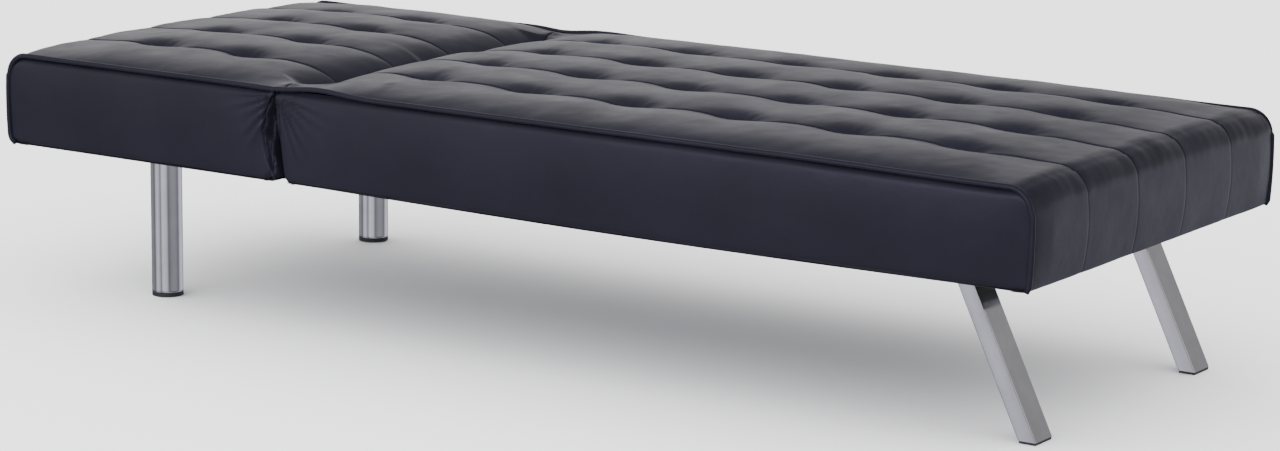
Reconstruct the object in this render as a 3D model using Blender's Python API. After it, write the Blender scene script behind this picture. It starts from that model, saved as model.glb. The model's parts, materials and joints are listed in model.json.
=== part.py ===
"""Convertible futon sofa bed, lying flat: a long seat section and a short back
section joined by a ratchet hinge on each side, on chromed steel legs.

Metres, +Z up. The origin is on the floor at the middle of the footprint. +X runs
along the length to the foot end and -Y is the near side. The right side is -Y.
"""
from math import asin, cos, hypot, pi, radians, sin, tan

import bmesh
import bpy
from mathutils import Matrix, Vector

# overall sizes
LENGTH = 1.830
WIDTH = 0.760
UNDERSIDE_HEIGHT = 0.236      # floor to the underside of both sections
SIDE_PANEL_HEIGHT = 0.143     # underside to the piping line
PAD_CROWN = 0.015             # pad surface above the piping line
BACK_LENGTH = 0.5475          # head end panel to the hinge

# upholstery
COVER_THICKNESS = 0.002
END_CORNER_RADIUS = 0.034
HINGE_CORNER_RADIUS = 0.042
SIDE_CHAMFER = 0.007          # seat for the piping along each side panel
CROWN_START = 0.030           # from the side panel, where most of the crown is reached
CROWN_SHARE = 0.7             # of the crown, reached where it starts
CROWN_END = 0.075             # from the side panel, where the pad is flat
PIPING_RADIUS = 0.004
HINGE_GAP_TOP = 0.002         # between the two sections at the pivot
HINGE_GAP_BOTTOM = 0.022      # between the two sections at the underside
SLOT_SHARE = 0.7              # of the hinge corner, left open for the hinge plates
GUSSET_THICKNESS = 0.0016
GUSSET_HEM_HEIGHT = 0.006     # from the underside up to the gusset's hem
DUST_COVER_THICKNESS = 0.001

# welded frame
RAIL_WIDTH = 0.025
RAIL_HEIGHT = 0.040
RAIL_WALL = 0.0015
FRAME_INSET = 0.004           # from the cover's inner face to the frame
LEG_RAIL_WIDTH = 0.060
SPRING_WIRE_RADIUS = 0.0019
SPRING_WAVE = 0.022           # half the width of the zigzag
SEAT_SPRINGS = 5
BACK_SPRINGS = 2
SPRING_BENDS = 7

# ratchet hinge
RECLINE_MAX = radians(75)
PIVOT_DROP = 0.011            # pivot below the piping line
HINGE_PLATE_THICKNESS = 0.003
EYE_RADIUS = 0.008
EYE_ARC = (radians(40), radians(205))  # round part of the eye's outline
PIN_RADIUS = 0.004
PIN_HEAD_RADIUS = 0.0065
PIN_HEAD_HEIGHT = 0.002
ARM_FOOT_LENGTH = 0.058       # plate arm where it leaves the tab
ARM_BACKSET = 0.001           # plate arm's rear edge behind the tab
SHOULDER_X = 0.052            # plate shoulder that carries the pawl pin, from the pivot
SHOULDER_DROP = 0.045
TAB_LENGTH = 0.110
TAB_HEIGHT = 0.030
POCKET_LENGTH = 0.084         # room in the foam for the plates, from the hinge
POCKET_MARGIN = 0.004
SECTOR_RADIUS = 0.044
SECTOR_ROOT_RADIUS = 0.006    # sector's inner corner, inside the eye
SECTOR_ROOT_TURN = radians(162)
NOTCH_DEPTH = 0.005
NOTCH_HALF_ANGLE = radians(6)
NOTCH_FLOOR_SHARE = 0.6       # of the notch's mouth
NOTCH_STEPS = (0.0, 0.5, 1.0)  # of the full recline
SECTOR_MARGIN = radians(10)
PAWL_CONTACT_ANGLE = radians(-85)  # where the pawl meets the sector, about the pivot
PAWL_REACH = 0.034            # pawl pin to pawl tooth
PAWL_PIN_RADIUS = 0.003
PAWL_EYE_RADIUS = 0.006
PAWL_HALF_WIDTH = 0.0035
PAWL_EYE_ARC = (radians(-99), radians(81))
PAWL_RIM_GAP = 0.0035         # pawl's body to the sector's rim, with its tooth in
PAWL_TOOTH_GAP = 0.0005       # tooth to the notch's floor
PAWL_TOOTH_HALF_ANGLE = radians(2.9)
PAWL_PARKED_ANGLE = radians(12)

# chromed legs
ROUND_LEG_DIAMETER = 0.050
ROUND_LEG_FROM_HINGE = 0.320
ROUND_LEG_INSET = 0.114       # leg's middle from the bed's side
ROUND_GLIDE_HEIGHT = 0.006
SQUARE_LEG_WIDTH = 0.050
SQUARE_LEG_DEPTH = 0.025
SQUARE_LEG_SPLAY = radians(26)
SQUARE_LEG_INSET = 0.130      # leg's middle from the bed's side
SQUARE_LEG_FROM_END = 0.160   # top centre from the foot end
SQUARE_GLIDE_HEIGHT = 0.0035
LEG_WALL = 0.0015
LEG_PLATE_THICKNESS = 0.003
LEG_PLATE_LENGTH = 0.070
LEG_PLATE_WIDTH = 0.084
REAR_ARM_WIDTH = 0.040
REAR_ARM_HEIGHT = 0.014
REAR_ARM_OVERHANG = 0.005     # past the round leg
REAR_ARM_REACH = 0.270        # from the hinge under the seat
BOLT_RADIUS = 0.003
BOLT_HEAD_RADIUS = 0.006
BOLT_HEAD_HEIGHT = 0.003
BOLT_REACH = 0.006            # bolt end above the wall it passes
LEG_BOLT_SPREAD = 0.034       # foot leg bolts from the leg's middle
STUD_RADIUS = 0.005
LEG_CAP_THICKNESS = 0.003
GLIDE_PLUG_HEIGHT = 0.010
GLIDE_SETBACK = 0.001         # square glide inside the leg's outline

CLEARANCE = 0.0003            # between pieces that touch
CUT_THROUGH = 0.008           # how far a cutter passes what it cuts
ARC_SEGMENTS = 8
EYE_SEGMENTS = 10
LEG_SIDES = 32
PIN_SIDES = 24
HOLE_SIDES = 16
BOLT_SIDES = 12
SMOOTH_ANGLE = radians(35)

# places worked out from the sizes above
PIPING_SHIFT = (PIPING_RADIUS + CLEARANCE) / 2 ** 0.5 - SIDE_CHAMFER / 2
FOOT_X = LENGTH / 2 - PIPING_RADIUS - PIPING_SHIFT
HEAD_X = -FOOT_X
HINGE_X = HEAD_X + BACK_LENGTH
PIPING_Z = UNDERSIDE_HEIGHT + SIDE_PANEL_HEIGHT
PAD_TOP = PIPING_Z + PAD_CROWN
PIVOT_Z = PIPING_Z - PIVOT_DROP
PANEL_Y = WIDTH / 2 - PIPING_RADIUS - PIPING_SHIFT
INNER_Y = PANEL_Y - COVER_THICKNESS
FRAME_Y = INNER_Y - FRAME_INSET
FRAME_BOTTOM = UNDERSIDE_HEIGHT + DUST_COVER_THICKNESS + CLEARANCE
FRAME_TOP = FRAME_BOTTOM + RAIL_HEIGHT
PLATE_PITCH = HINGE_PLATE_THICKNESS + 2 * CLEARANCE
SEAT_PLATE_Y = FRAME_Y - RAIL_WIDTH - CLEARANCE - HINGE_PLATE_THICKNESS / 2
BACK_PLATE_Y = SEAT_PLATE_Y - PLATE_PITCH
HINGE_RAIL_START = HINGE_GAP_BOTTOM / 2 + COVER_THICKNESS + FRAME_INSET
ARM_TOP = UNDERSIDE_HEIGHT - CLEARANCE
ARM_BOTTOM = ARM_TOP - REAR_ARM_HEIGHT
LEG_PLATE_BOTTOM = ARM_TOP - LEG_PLATE_THICKNESS
FOOT_LEG_X = FOOT_X - SQUARE_LEG_FROM_END
FOOT_LEG_Y = WIDTH / 2 - SQUARE_LEG_INSET
REAR_LEG_X = HINGE_X - ROUND_LEG_FROM_HINGE
REAR_LEG_Y = WIDTH / 2 - ROUND_LEG_INSET
SIDES = (("left", 1), ("right", -1))
ALONG_Y = Matrix.Rotation(-pi / 2, 4, "X")
UPRIGHT = Matrix.Identity(4)


# ---- materials and basic solids ----

def material(name, colour, roughness, metallic=0.0):
    made = bpy.data.materials.get(name)
    if made:
        return made
    made = bpy.data.materials.new(name)
    made.use_nodes = True
    shader = made.node_tree.nodes["Principled BSDF"]
    shader.inputs["Base Color"].default_value = (*colour, 1)
    shader.inputs["Roughness"].default_value = roughness
    shader.inputs["Metallic"].default_value = metallic
    made.diffuse_color = (*colour, 1)
    return made


def leather():
    return material("navy_leather", (0.012, 0.015, 0.030), 0.42)


def foam():
    return material("foam", (0.75, 0.68, 0.45), 0.95)


def felt():
    return material("black_felt", (0.015, 0.015, 0.016), 0.95)


def frame_paint():
    return material("frame_paint", (0.02, 0.02, 0.022), 0.45, 0.3)


def spring_steel():
    return material("spring_steel", (0.42, 0.42, 0.43), 0.4, 0.9)


def chrome():
    return material("chrome", (0.78, 0.79, 0.80), 0.08, 1.0)


def black_plastic():
    return material("black_plastic", (0.014, 0.014, 0.015), 0.6)


def add_object(name, mesh, finish, parent=None, smooth_angle=None):
    made = bpy.data.objects.new(name, mesh)
    bpy.context.scene.collection.objects.link(made)
    made.data.materials.append(finish)
    if smooth_angle is not None:
        mesh.shade_smooth()
        mesh.set_sharp_from_angle(angle=smooth_angle)
    if parent:
        # world coordinates were used, so the parent's place is taken out again
        made.parent = parent
        made.matrix_parent_inverse = Matrix.Translation(-parent.location)
    return made


def mesh_from(bm, name):
    bmesh.ops.recalc_face_normals(bm, faces=bm.faces)
    mesh = bpy.data.meshes.new(name)
    bm.to_mesh(mesh)
    bm.free()
    return mesh


def box_mesh(name, low, high):
    bm = bmesh.new()
    bmesh.ops.create_cube(bm, size=1)
    for vertex in bm.verts:
        for axis in range(3):
            middle = (low[axis] + high[axis]) / 2
            vertex.co[axis] = middle + vertex.co[axis] * (high[axis] - low[axis])
    return mesh_from(bm, name)


def add_box(name, low, high, finish, parent=None):
    return add_object(name, box_mesh(name, low, high), finish, parent)


def prism_mesh(name, outline, y_low, y_high):
    """Solid with an (x, z) outline, from y_low to y_high."""
    bm = bmesh.new()
    face = bm.faces.new([bm.verts.new((x, y_low, z)) for x, z in outline])
    grown = bmesh.ops.extrude_face_region(bm, geom=[face])["geom"]
    moved = [item for item in grown if isinstance(item, bmesh.types.BMVert)]
    bmesh.ops.translate(bm, verts=moved, vec=(0, y_high - y_low, 0))
    return mesh_from(bm, name)


def add_cutter(name, mesh):
    made = bpy.data.objects.new(name, mesh)
    bpy.context.scene.collection.objects.link(made)
    made.hide_render = True
    made.display_type = "WIRE"
    return made


def cylinder_mesh(name, start, end, radius, sides):
    bm = bmesh.new()
    start = Vector(start)
    along = Vector(end) - start
    turn = along.to_track_quat("Z", "Y").to_matrix().to_4x4()
    place = Matrix.Translation(start + along / 2) @ turn
    bmesh.ops.create_cone(
        bm, cap_ends=True, segments=sides, radius1=radius, radius2=radius,
        depth=along.length, matrix=place,
    )
    return mesh_from(bm, name)


def cutter_cylinder(name, start, end, radius, sides):
    return add_cutter(name, cylinder_mesh(name, start, end, radius, sides))


def combine(piece, other, operation="DIFFERENCE"):
    step = piece.modifiers.new(operation.lower() + "_" + other.name, "BOOLEAN")
    step.operation = operation
    step.solver = "EXACT"
    step.object = other


def arc(centre, radius, start, end, steps=ARC_SEGMENTS):
    """Points (x, z) on an arc, from angle start to angle end."""
    points = []
    for step in range(steps + 1):
        angle = start + (end - start) * step / steps
        points.append((centre[0] + radius * cos(angle), centre[1] + radius * sin(angle)))
    return points


def tube_path(name, points, radius, finish, parent=None, resolution=2):
    """Round solid along the points, with filled ends."""
    data = bpy.data.curves.new(name, "CURVE")
    data.dimensions = "3D"
    data.bevel_depth = radius
    data.bevel_resolution = resolution
    data.use_fill_caps = True
    data.render_resolution_u = 0
    line = data.splines.new("POLY")
    line.points.add(len(points) - 1)
    for point, place in zip(line.points, points):
        point.co = (*place, 1)
    made = bpy.data.objects.new(name, data)
    bpy.context.scene.collection.objects.link(made)
    made.data.materials.append(finish)
    if parent:
        made.parent = parent
        made.matrix_parent_inverse = Matrix.Translation(-parent.location)
    return made


# ---- upholstery ----

class Section:
    """One upholstered section. Direction is +1 for the seat, which runs from the
    hinge to +X, and -1 for the back, which runs to -X."""

    def __init__(self, name, direction, parent=None):
        self.name = name
        self.direction = direction
        self.parent = parent
        self.length = FOOT_X - HINGE_X if direction > 0 else HINGE_X - HEAD_X
        self.plate_y = SEAT_PLATE_Y if direction > 0 else BACK_PLATE_Y
        # each side rail backs its own hinge plate
        self.rail_inner = self.plate_y + HINGE_PLATE_THICKNESS / 2 + CLEARANCE

    def x(self, from_hinge):
        return HINGE_X + self.direction * from_hinge

    def box(self, name, span_x, half_y, span_z, finish):
        low_x, high_x = sorted(self.x(place) for place in span_x)
        low = (low_x, -half_y, span_z[0])
        high = (high_x, half_y, span_z[1])
        return add_box(name, low, high, finish, self.parent)


def hinge_face_offset(z):
    """Distance from the hinge plane to a section's face, at height z."""
    share = (PIVOT_Z - z) / (PIVOT_Z - UNDERSIDE_HEIGHT)
    return (HINGE_GAP_TOP + (HINGE_GAP_BOTTOM - HINGE_GAP_TOP) * share) / 2


def section_outline(section, inset, edge, bottom, top):
    """Side outline of a section as (x, z) points. Every face but the bottom is
    moved in by inset, and the end and the top by edge as well."""
    far = section.length - inset - edge
    high = top - inset - edge
    corner = END_CORNER_RADIUS - inset - edge
    points = [(far, bottom)]
    points += arc((far - corner, high - corner), corner, 0, pi / 2)
    radius = HINGE_CORNER_RADIUS - inset
    slope = (HINGE_GAP_BOTTOM - HINGE_GAP_TOP) / 2 / (PIVOT_Z - UNDERSIDE_HEIGHT)
    lean = asin(slope / hypot(1, slope))
    centre_z = high - radius
    # the arc meets the leaning face where its normal points at the hinge
    centre_x = hinge_face_offset(centre_z) + (radius + inset) / cos(lean)
    points += arc((centre_x, centre_z), radius, pi / 2, pi + lean)
    points.append((hinge_face_offset(bottom) + inset / cos(lean), bottom))
    return [(section.x(x), z) for x, z in points]


def pad_rows(inset):
    """Rows across the pad as (y, edge, top): chamfer for the piping, then crown."""
    half = PANEL_Y - inset
    rows = [
        (half, SIDE_CHAMFER, PIPING_Z),
        (half - SIDE_CHAMFER, 0, PIPING_Z),
        (half - CROWN_START, 0, PIPING_Z + CROWN_SHARE * PAD_CROWN),
        (half - CROWN_END, 0, PAD_TOP),
    ]
    return rows + [(-y, edge, top) for y, edge, top in reversed(rows)]


def pad_bmesh(section, inset, bottom, open_bottom):
    """Block with a crowned top, through the outlines of its rows."""
    bm = bmesh.new()
    rings = []
    for y, edge, top in pad_rows(inset):
        outline = section_outline(section, inset, edge, bottom, top)
        rings.append([bm.verts.new((x, y, z)) for x, z in outline])
    count = len(rings[0])
    for near, far in zip(rings, rings[1:]):
        for i in range(count):
            j = (i + 1) % count
            if open_bottom and j == 0:
                continue
            bm.faces.new((near[i], near[j], far[j], far[i]))
    bm.faces.new(rings[0])
    bm.faces.new(rings[-1])
    bmesh.ops.recalc_face_normals(bm, faces=bm.faces)
    # an open block's normals are only known to agree, so its side panel decides
    panel = max(bm.faces, key=lambda face: face.calc_center_median().y)
    if panel.normal.y < 0:
        bmesh.ops.reverse_faces(bm, faces=bm.faces)
    return bm


def mechanism_cutter(section, name, sign, reach, margin, outer_y):
    """Cutter at one side of the hinge, from inside the plates to outer_y."""
    near, far = sorted((section.x(-CUT_THROUGH), section.x(reach)))
    inner_y = BACK_PLATE_Y - HINGE_PLATE_THICKNESS / 2 - margin
    low_y, high_y = sorted((sign * inner_y, sign * outer_y))
    low = (near, low_y, UNDERSIDE_HEIGHT - CUT_THROUGH)
    high = (far, high_y, PAD_TOP + CUT_THROUGH)
    return add_cutter(name, box_mesh(name, low, high))


def add_cover(section):
    name = section.name + "_cover"
    bm = pad_bmesh(section, 0, UNDERSIDE_HEIGHT, open_bottom=True)
    mesh = bpy.data.meshes.new(name)
    bm.to_mesh(mesh)
    bm.free()
    cover = add_object(name, mesh, leather(), section.parent)
    wall = cover.modifiers.new("wall", "SOLIDIFY")
    wall.thickness = COVER_THICKNESS
    wall.offset = -1
    wall.use_even_offset = True
    margin = PIN_HEAD_HEIGHT + 4 * CLEARANCE
    outer_y = SEAT_PLATE_Y + HINGE_PLATE_THICKNESS / 2 + margin
    reach = HINGE_CORNER_RADIUS * SLOT_SHARE
    for side, sign in SIDES:
        label = f"slot_{section.name}_{side}"
        combine(cover, mechanism_cutter(section, label, sign, reach, margin, outer_y))


def add_foam(section):
    inset = COVER_THICKNESS + CLEARANCE
    bm = pad_bmesh(section, inset, FRAME_TOP + CLEARANCE, open_bottom=False)
    name = section.name + "_foam"
    block = add_object(name, mesh_from(bm, name), foam(), section.parent)
    for side, sign in SIDES:
        label = f"foam_pocket_{section.name}_{side}"
        combine(block, mechanism_cutter(
            section, label, sign, POCKET_LENGTH, POCKET_MARGIN, WIDTH))


def add_piping(section, side, sign):
    """Cord along the top edge of one side panel and down its end."""
    top = PIPING_Z + PIPING_SHIFT
    far = section.length + PIPING_SHIFT
    radius = END_CORNER_RADIUS + PIPING_SHIFT
    y = sign * (PANEL_Y + PIPING_SHIFT)
    outline = [(HINGE_CORNER_RADIUS, top)]
    outline += arc((far - radius, top - radius), radius, pi / 2, 0)
    outline.append((far, UNDERSIDE_HEIGHT + CLEARANCE))
    points = [(section.x(x), y, z) for x, z in outline]
    name = f"{section.name}_piping_{side}"
    tube_path(name, points, PIPING_RADIUS, leather(), section.parent)


def add_dust_cover(section, bolt_places):
    near = hinge_face_offset(UNDERSIDE_HEIGHT) + COVER_THICKNESS + 3 * CLEARANCE
    far = section.length - SIDE_CHAMFER - COVER_THICKNESS - CLEARANCE
    panel = section.box(
        section.name + "_dust_cover", (near, far), INNER_Y - CLEARANCE,
        (UNDERSIDE_HEIGHT, UNDERSIDE_HEIGHT + DUST_COVER_THICKNESS), felt(),
    )
    cut_bolt_holes(panel, bolt_places, UNDERSIDE_HEIGHT, DUST_COVER_THICKNESS)


def add_gusset(side, sign):
    """Folded panel that closes the wedge between the sections."""
    low = UNDERSIDE_HEIGHT + GUSSET_HEM_HEIGHT
    high = PIVOT_Z - EYE_RADIUS
    bottom = hinge_face_offset(low) - 2 * CLEARANCE
    top = hinge_face_offset(high) - 2 * CLEARANCE
    outline = [
        (HINGE_X - bottom, low), (HINGE_X + bottom, low),
        (HINGE_X + top, high), (HINGE_X - top, high),
    ]
    outer = sign * (PANEL_Y - SIDE_CHAMFER)
    inner = outer - sign * GUSSET_THICKNESS
    name = f"hinge_gusset_{side}"
    mesh = prism_mesh(name, outline, min(outer, inner), max(outer, inner))
    add_object(name, mesh, leather())


# ---- welded frame and springs ----

def tube_between(name, start, end, width, height, wall, finish, parent=None):
    """Open-ended box tube. Width is horizontal and height is along Z."""
    start = Vector(start)
    end = Vector(end)
    up = Vector((0, 0, 1))
    across = up.cross((end - start).normalized())
    bm = bmesh.new()
    rings = []
    for place in (start, end):
        for shrink in (0, wall):
            ring = []
            for a, b in ((1, 1), (-1, 1), (-1, -1), (1, -1)):
                corner = across * a * (width / 2 - shrink) + up * b * (height / 2 - shrink)
                ring.append(bm.verts.new(place + corner))
            rings.append(ring)
    join_tube_rings(bm, *rings)
    return add_object(name, mesh_from(bm, name), finish, parent)


def join_tube_rings(bm, near_out, near_in, far_out, far_in):
    """Walls and open ends of a tube, from its four end rings."""
    count = len(near_out)
    for i in range(count):
        j = (i + 1) % count
        bm.faces.new((near_out[i], near_out[j], far_out[j], far_out[i]))
        bm.faces.new((near_in[j], near_in[i], far_in[i], far_in[j]))
        bm.faces.new((near_out[j], near_out[i], near_in[i], near_in[j]))
        bm.faces.new((far_out[i], far_out[j], far_in[j], far_in[i]))


def cut_bolt_holes(piece, places, bottom, thickness):
    """Round holes for bolts in a wall of this thickness at height bottom."""
    for index, (x, y) in enumerate(places):
        hole = cutter_cylinder(
            f"{piece.name}_hole_{index}", (x, y, bottom - CUT_THROUGH),
            (x, y, bottom + thickness + CUT_THROUGH), BOLT_RADIUS + 2 * CLEARANCE,
            HOLE_SIDES,
        )
        combine(piece, hole)


def add_side_rails(section):
    near = section.x(HINGE_RAIL_START)
    far = section.x(section.length - SIDE_CHAMFER - COVER_THICKNESS - FRAME_INSET)
    z = FRAME_BOTTOM + RAIL_HEIGHT / 2
    for side, sign in SIDES:
        y = sign * (section.rail_inner + RAIL_WIDTH / 2)
        tube_between(
            f"{section.name}_side_rail_{side}", (near, y, z), (far, y, z),
            RAIL_WIDTH, RAIL_HEIGHT, RAIL_WALL, frame_paint(), section.parent,
        )


def add_cross_rail(section, suffix, from_hinge, width=RAIL_WIDTH, bolts=(), plates=False):
    """Box tube between the side rails, or between the hinge plates."""
    reach = section.rail_inner - CLEARANCE
    if plates:
        reach = section.plate_y - HINGE_PLATE_THICKNESS / 2 - CLEARANCE
    x = section.x(from_hinge)
    z = FRAME_BOTTOM + RAIL_HEIGHT / 2
    rail = tube_between(
        f"{section.name}_{suffix}", (x, -reach, z), (x, reach, z),
        width, RAIL_HEIGHT, RAIL_WALL, frame_paint(), section.parent,
    )
    cut_bolt_holes(rail, bolts, FRAME_BOTTOM, RAIL_WALL)


def add_springs(section, places):
    """Zigzag wires across the section, hooked into its side rails."""
    reach = section.rail_inner - 2 * SPRING_WIRE_RADIUS
    z = FRAME_TOP - 2 * SPRING_WIRE_RADIUS
    steps = SPRING_BENDS * 4
    for number, middle in enumerate(places, start=1):
        points = []
        for step in range(steps + 1):
            y = -reach + 2 * reach * step / steps
            # samples an eighth of a turn off the crests give flat-topped bends
            wave = SPRING_WAVE * sin(2 * pi * SPRING_BENDS * step / steps + pi / 4)
            points.append((section.x(middle) + wave, y, z))
        name = f"{section.name}_spring_{number}"
        tube_path(name, points, SPRING_WIRE_RADIUS, spring_steel(), section.parent, 1)


# ---- ratchet hinge ----

def polar(radius, angle):
    """Point (x, z) about the hinge's pivot."""
    return (HINGE_X + radius * cos(angle), PIVOT_Z + radius * sin(angle))


def plate_outline(direction):
    """Hinge plate as (x, z): a tab beside the side rail, and an arm to the eye."""
    start = HINGE_RAIL_START
    tab_top = FRAME_BOTTOM + TAB_HEIGHT
    points = [
        (start, FRAME_BOTTOM), (start + TAB_LENGTH, FRAME_BOTTOM),
        (start + TAB_LENGTH, tab_top), (start + ARM_FOOT_LENGTH, tab_top),
        (SHOULDER_X, PIVOT_Z - SHOULDER_DROP),
    ]
    points += arc((0, PIVOT_Z), EYE_RADIUS, *EYE_ARC, EYE_SEGMENTS)
    points.append((start - ARM_BACKSET, tab_top))
    return [(HINGE_X + direction * x, z) for x, z in points]


def add_hinge_plate(section, side, sign):
    y = sign * section.plate_y
    low = y - HINGE_PLATE_THICKNESS / 2
    high = y + HINGE_PLATE_THICKNESS / 2
    name = f"{section.name}_hinge_plate_{side}"
    mesh = prism_mesh(name, plate_outline(section.direction), low, high)
    plate = add_object(name, mesh, spring_steel(), section.parent)
    eye = cutter_cylinder(
        name + "_eye", (HINGE_X, low - CUT_THROUGH, PIVOT_Z),
        (HINGE_X, high + CUT_THROUGH, PIVOT_Z), PIN_RADIUS + CLEARANCE, PIN_SIDES,
    )
    combine(plate, eye)
    return plate


def add_sector(plate, side, sign):
    """Notched sector that is part of the back's hinge plate."""
    first = PAWL_CONTACT_ANGLE - SECTOR_MARGIN
    last = PAWL_CONTACT_ANGLE + RECLINE_MAX + SECTOR_MARGIN
    root = polar(SECTOR_ROOT_RADIUS, last + SECTOR_ROOT_TURN)
    floor_half_angle = NOTCH_HALF_ANGLE * NOTCH_FLOOR_SHARE
    outline = [root, polar(SECTOR_RADIUS, first)]
    for share in NOTCH_STEPS:
        middle = PAWL_CONTACT_ANGLE + share * RECLINE_MAX
        outline += [
            polar(SECTOR_RADIUS, middle - NOTCH_HALF_ANGLE),
            polar(SECTOR_RADIUS - NOTCH_DEPTH, middle - floor_half_angle),
            polar(SECTOR_RADIUS - NOTCH_DEPTH, middle + floor_half_angle),
            polar(SECTOR_RADIUS, middle + NOTCH_HALF_ANGLE),
        ]
        if share < NOTCH_STEPS[-1]:
            outline.append(polar(SECTOR_RADIUS, middle + RECLINE_MAX / 4))
    outline.append(polar(SECTOR_RADIUS, last))
    y = sign * BACK_PLATE_Y
    half = HINGE_PLATE_THICKNESS / 2
    name = f"sector_{side}"
    sector = add_cutter(name, prism_mesh(name, outline, y - half, y + half))
    # the union comes before the eye's hole, which then passes through both
    combine(plate, sector, "UNION")
    plate.modifiers.move(len(plate.modifiers) - 1, 0)


def turned(points, centre, angle):
    """Points (x, z) turned about +Y by the right-hand rule."""
    result = []
    for x, z in points:
        dx = x - centre[0]
        dz = z - centre[1]
        result.append((
            centre[0] + dx * cos(angle) + dz * sin(angle),
            centre[1] - dx * sin(angle) + dz * cos(angle),
        ))
    return result


def pawl_axis():
    """Pawl pin's place as (x, z): level with the notch along the sector's tangent."""
    contact = polar(SECTOR_RADIUS - NOTCH_DEPTH / 2, PAWL_CONTACT_ANGLE)
    along = PAWL_CONTACT_ANGLE + pi / 2
    return (contact[0] + PAWL_REACH * cos(along), contact[1] + PAWL_REACH * sin(along))


def pawl_outline():
    """Pawl as (x, z), first drawn with its tooth in a notch, then parked clear."""
    axis = pawl_axis()
    along = PAWL_CONTACT_ANGLE + pi / 2
    back = SECTOR_RADIUS + PAWL_RIM_GAP
    tooth = SECTOR_RADIUS - NOTCH_DEPTH + PAWL_TOOTH_GAP
    low = PAWL_CONTACT_ANGLE - PAWL_TOOTH_HALF_ANGLE
    high = PAWL_CONTACT_ANGLE + PAWL_TOOTH_HALF_ANGLE
    points = [
        polar(back + 2 * PAWL_HALF_WIDTH, low), polar(tooth, low),
        polar(tooth, high), polar(back, high),
    ]
    first, last = (along + turn for turn in PAWL_EYE_ARC)
    points += reversed(arc(axis, PAWL_EYE_RADIUS, first, last, EYE_SEGMENTS))
    return turned(points, axis, -PAWL_PARKED_ANGLE)


def pin_hole(name, x, y, z):
    """Cutter for the pawl pin, through a plate whose middle is at y."""
    reach = HINGE_PLATE_THICKNESS / 2 + CUT_THROUGH
    return cutter_cylinder(
        name, (x, y - reach, z), (x, y + reach, z), PAWL_PIN_RADIUS + CLEARANCE, PIN_SIDES)


def add_pawl(side, sign):
    x, z = pawl_axis()
    y = sign * BACK_PLATE_Y
    half = HINGE_PLATE_THICKNESS / 2
    pivot = bpy.data.objects.new(f"pawl_pivot_{side}", None)
    pivot.location = (x, y, z)
    bpy.context.scene.collection.objects.link(pivot)
    name = f"pawl_{side}"
    mesh = prism_mesh(name, pawl_outline(), y - half, y + half)
    pawl = add_object(name, mesh, spring_steel(), pivot)
    combine(pawl, pin_hole(name + "_hole", x, y, z))


def turned_mesh(name, profile, place, turn, sides):
    """Solid of revolution. The profile is (radius, height) from top to bottom, with
    both ends on the axis. Turn is the axis's rotation from +Z."""
    bm = bmesh.new()
    rings = []
    for radius, height in profile:
        if radius == 0:
            rings.append([bm.verts.new((0, 0, height))])
            continue
        ring = []
        for step in range(sides):
            angle = 2 * pi * step / sides
            ring.append(bm.verts.new((radius * cos(angle), radius * sin(angle), height)))
        rings.append(ring)
    for upper, lower in zip(rings, rings[1:]):
        for i in range(sides):
            j = (i + 1) % sides
            corners = [upper[i % len(upper)], upper[j % len(upper)]]
            corners += [lower[j % len(lower)], lower[i % len(lower)]]
            bm.faces.new(list(dict.fromkeys(corners)))
    bmesh.ops.transform(bm, matrix=Matrix.Translation(place) @ turn, verts=bm.verts)
    return mesh_from(bm, name)


def add_turned(name, profile, place, turn, finish, sides=PIN_SIDES):
    mesh = turned_mesh(name, profile, place, turn, sides)
    add_object(name, mesh, finish, smooth_angle=SMOOTH_ANGLE)


def add_hinge_pin(side, sign):
    """Riveted pin through both eyes."""
    middle = (SEAT_PLATE_Y + BACK_PLATE_Y) / 2
    half = (SEAT_PLATE_Y - BACK_PLATE_Y + HINGE_PLATE_THICKNESS) / 2 + CLEARANCE
    profile = [
        (0, half + PIN_HEAD_HEIGHT), (PIN_HEAD_RADIUS, half + PIN_HEAD_HEIGHT),
        (PIN_HEAD_RADIUS, half), (PIN_RADIUS, half),
        (PIN_RADIUS, -half), (PIN_HEAD_RADIUS, -half),
        (PIN_HEAD_RADIUS, -half - PIN_HEAD_HEIGHT), (0, -half - PIN_HEAD_HEIGHT),
    ]
    place = (HINGE_X, sign * middle, PIVOT_Z)
    add_turned(f"hinge_pin_{side}", profile, place, ALONG_Y, chrome())


def add_pawl_pin(side, sign):
    """Pin fixed in the seat's plate, which the pawl turns on."""
    x, z = pawl_axis()
    outer = SEAT_PLATE_Y + HINGE_PLATE_THICKNESS / 2
    inner = BACK_PLATE_Y - HINGE_PLATE_THICKNESS / 2 - CLEARANCE
    half = (outer - inner) / 2
    pin = [(0, half), (PAWL_PIN_RADIUS, half), (PAWL_PIN_RADIUS, -half), (0, -half)]
    place = (x, sign * (outer + inner) / 2, z)
    add_turned(f"pawl_pin_{side}", pin, place, ALONG_Y, spring_steel())


def add_hinge(seat, back, side, sign):
    seat_plate = add_hinge_plate(seat, side, sign)
    back_plate = add_hinge_plate(back, side, sign)
    add_sector(back_plate, side, sign)
    add_hinge_pin(side, sign)
    add_pawl(side, sign)
    x, z = pawl_axis()
    combine(seat_plate, pin_hole(f"pawl_pin_hole_{side}", x, sign * SEAT_PLATE_Y, z))
    add_pawl_pin(side, sign)
    add_gusset(side, sign)


# ---- legs ----

def add_bolt(name, x, y, head_top, end):
    """Bolt pointing up, with its round head under head_top."""
    profile = [
        (0, end), (BOLT_RADIUS, end), (BOLT_RADIUS, head_top),
        (BOLT_HEAD_RADIUS, head_top), (BOLT_HEAD_RADIUS, head_top - BOLT_HEAD_HEIGHT),
        (0, head_top - BOLT_HEAD_HEIGHT),
    ]
    add_turned(name, profile, (x, y, 0), UPRIGHT, spring_steel(), BOLT_SIDES)


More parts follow.
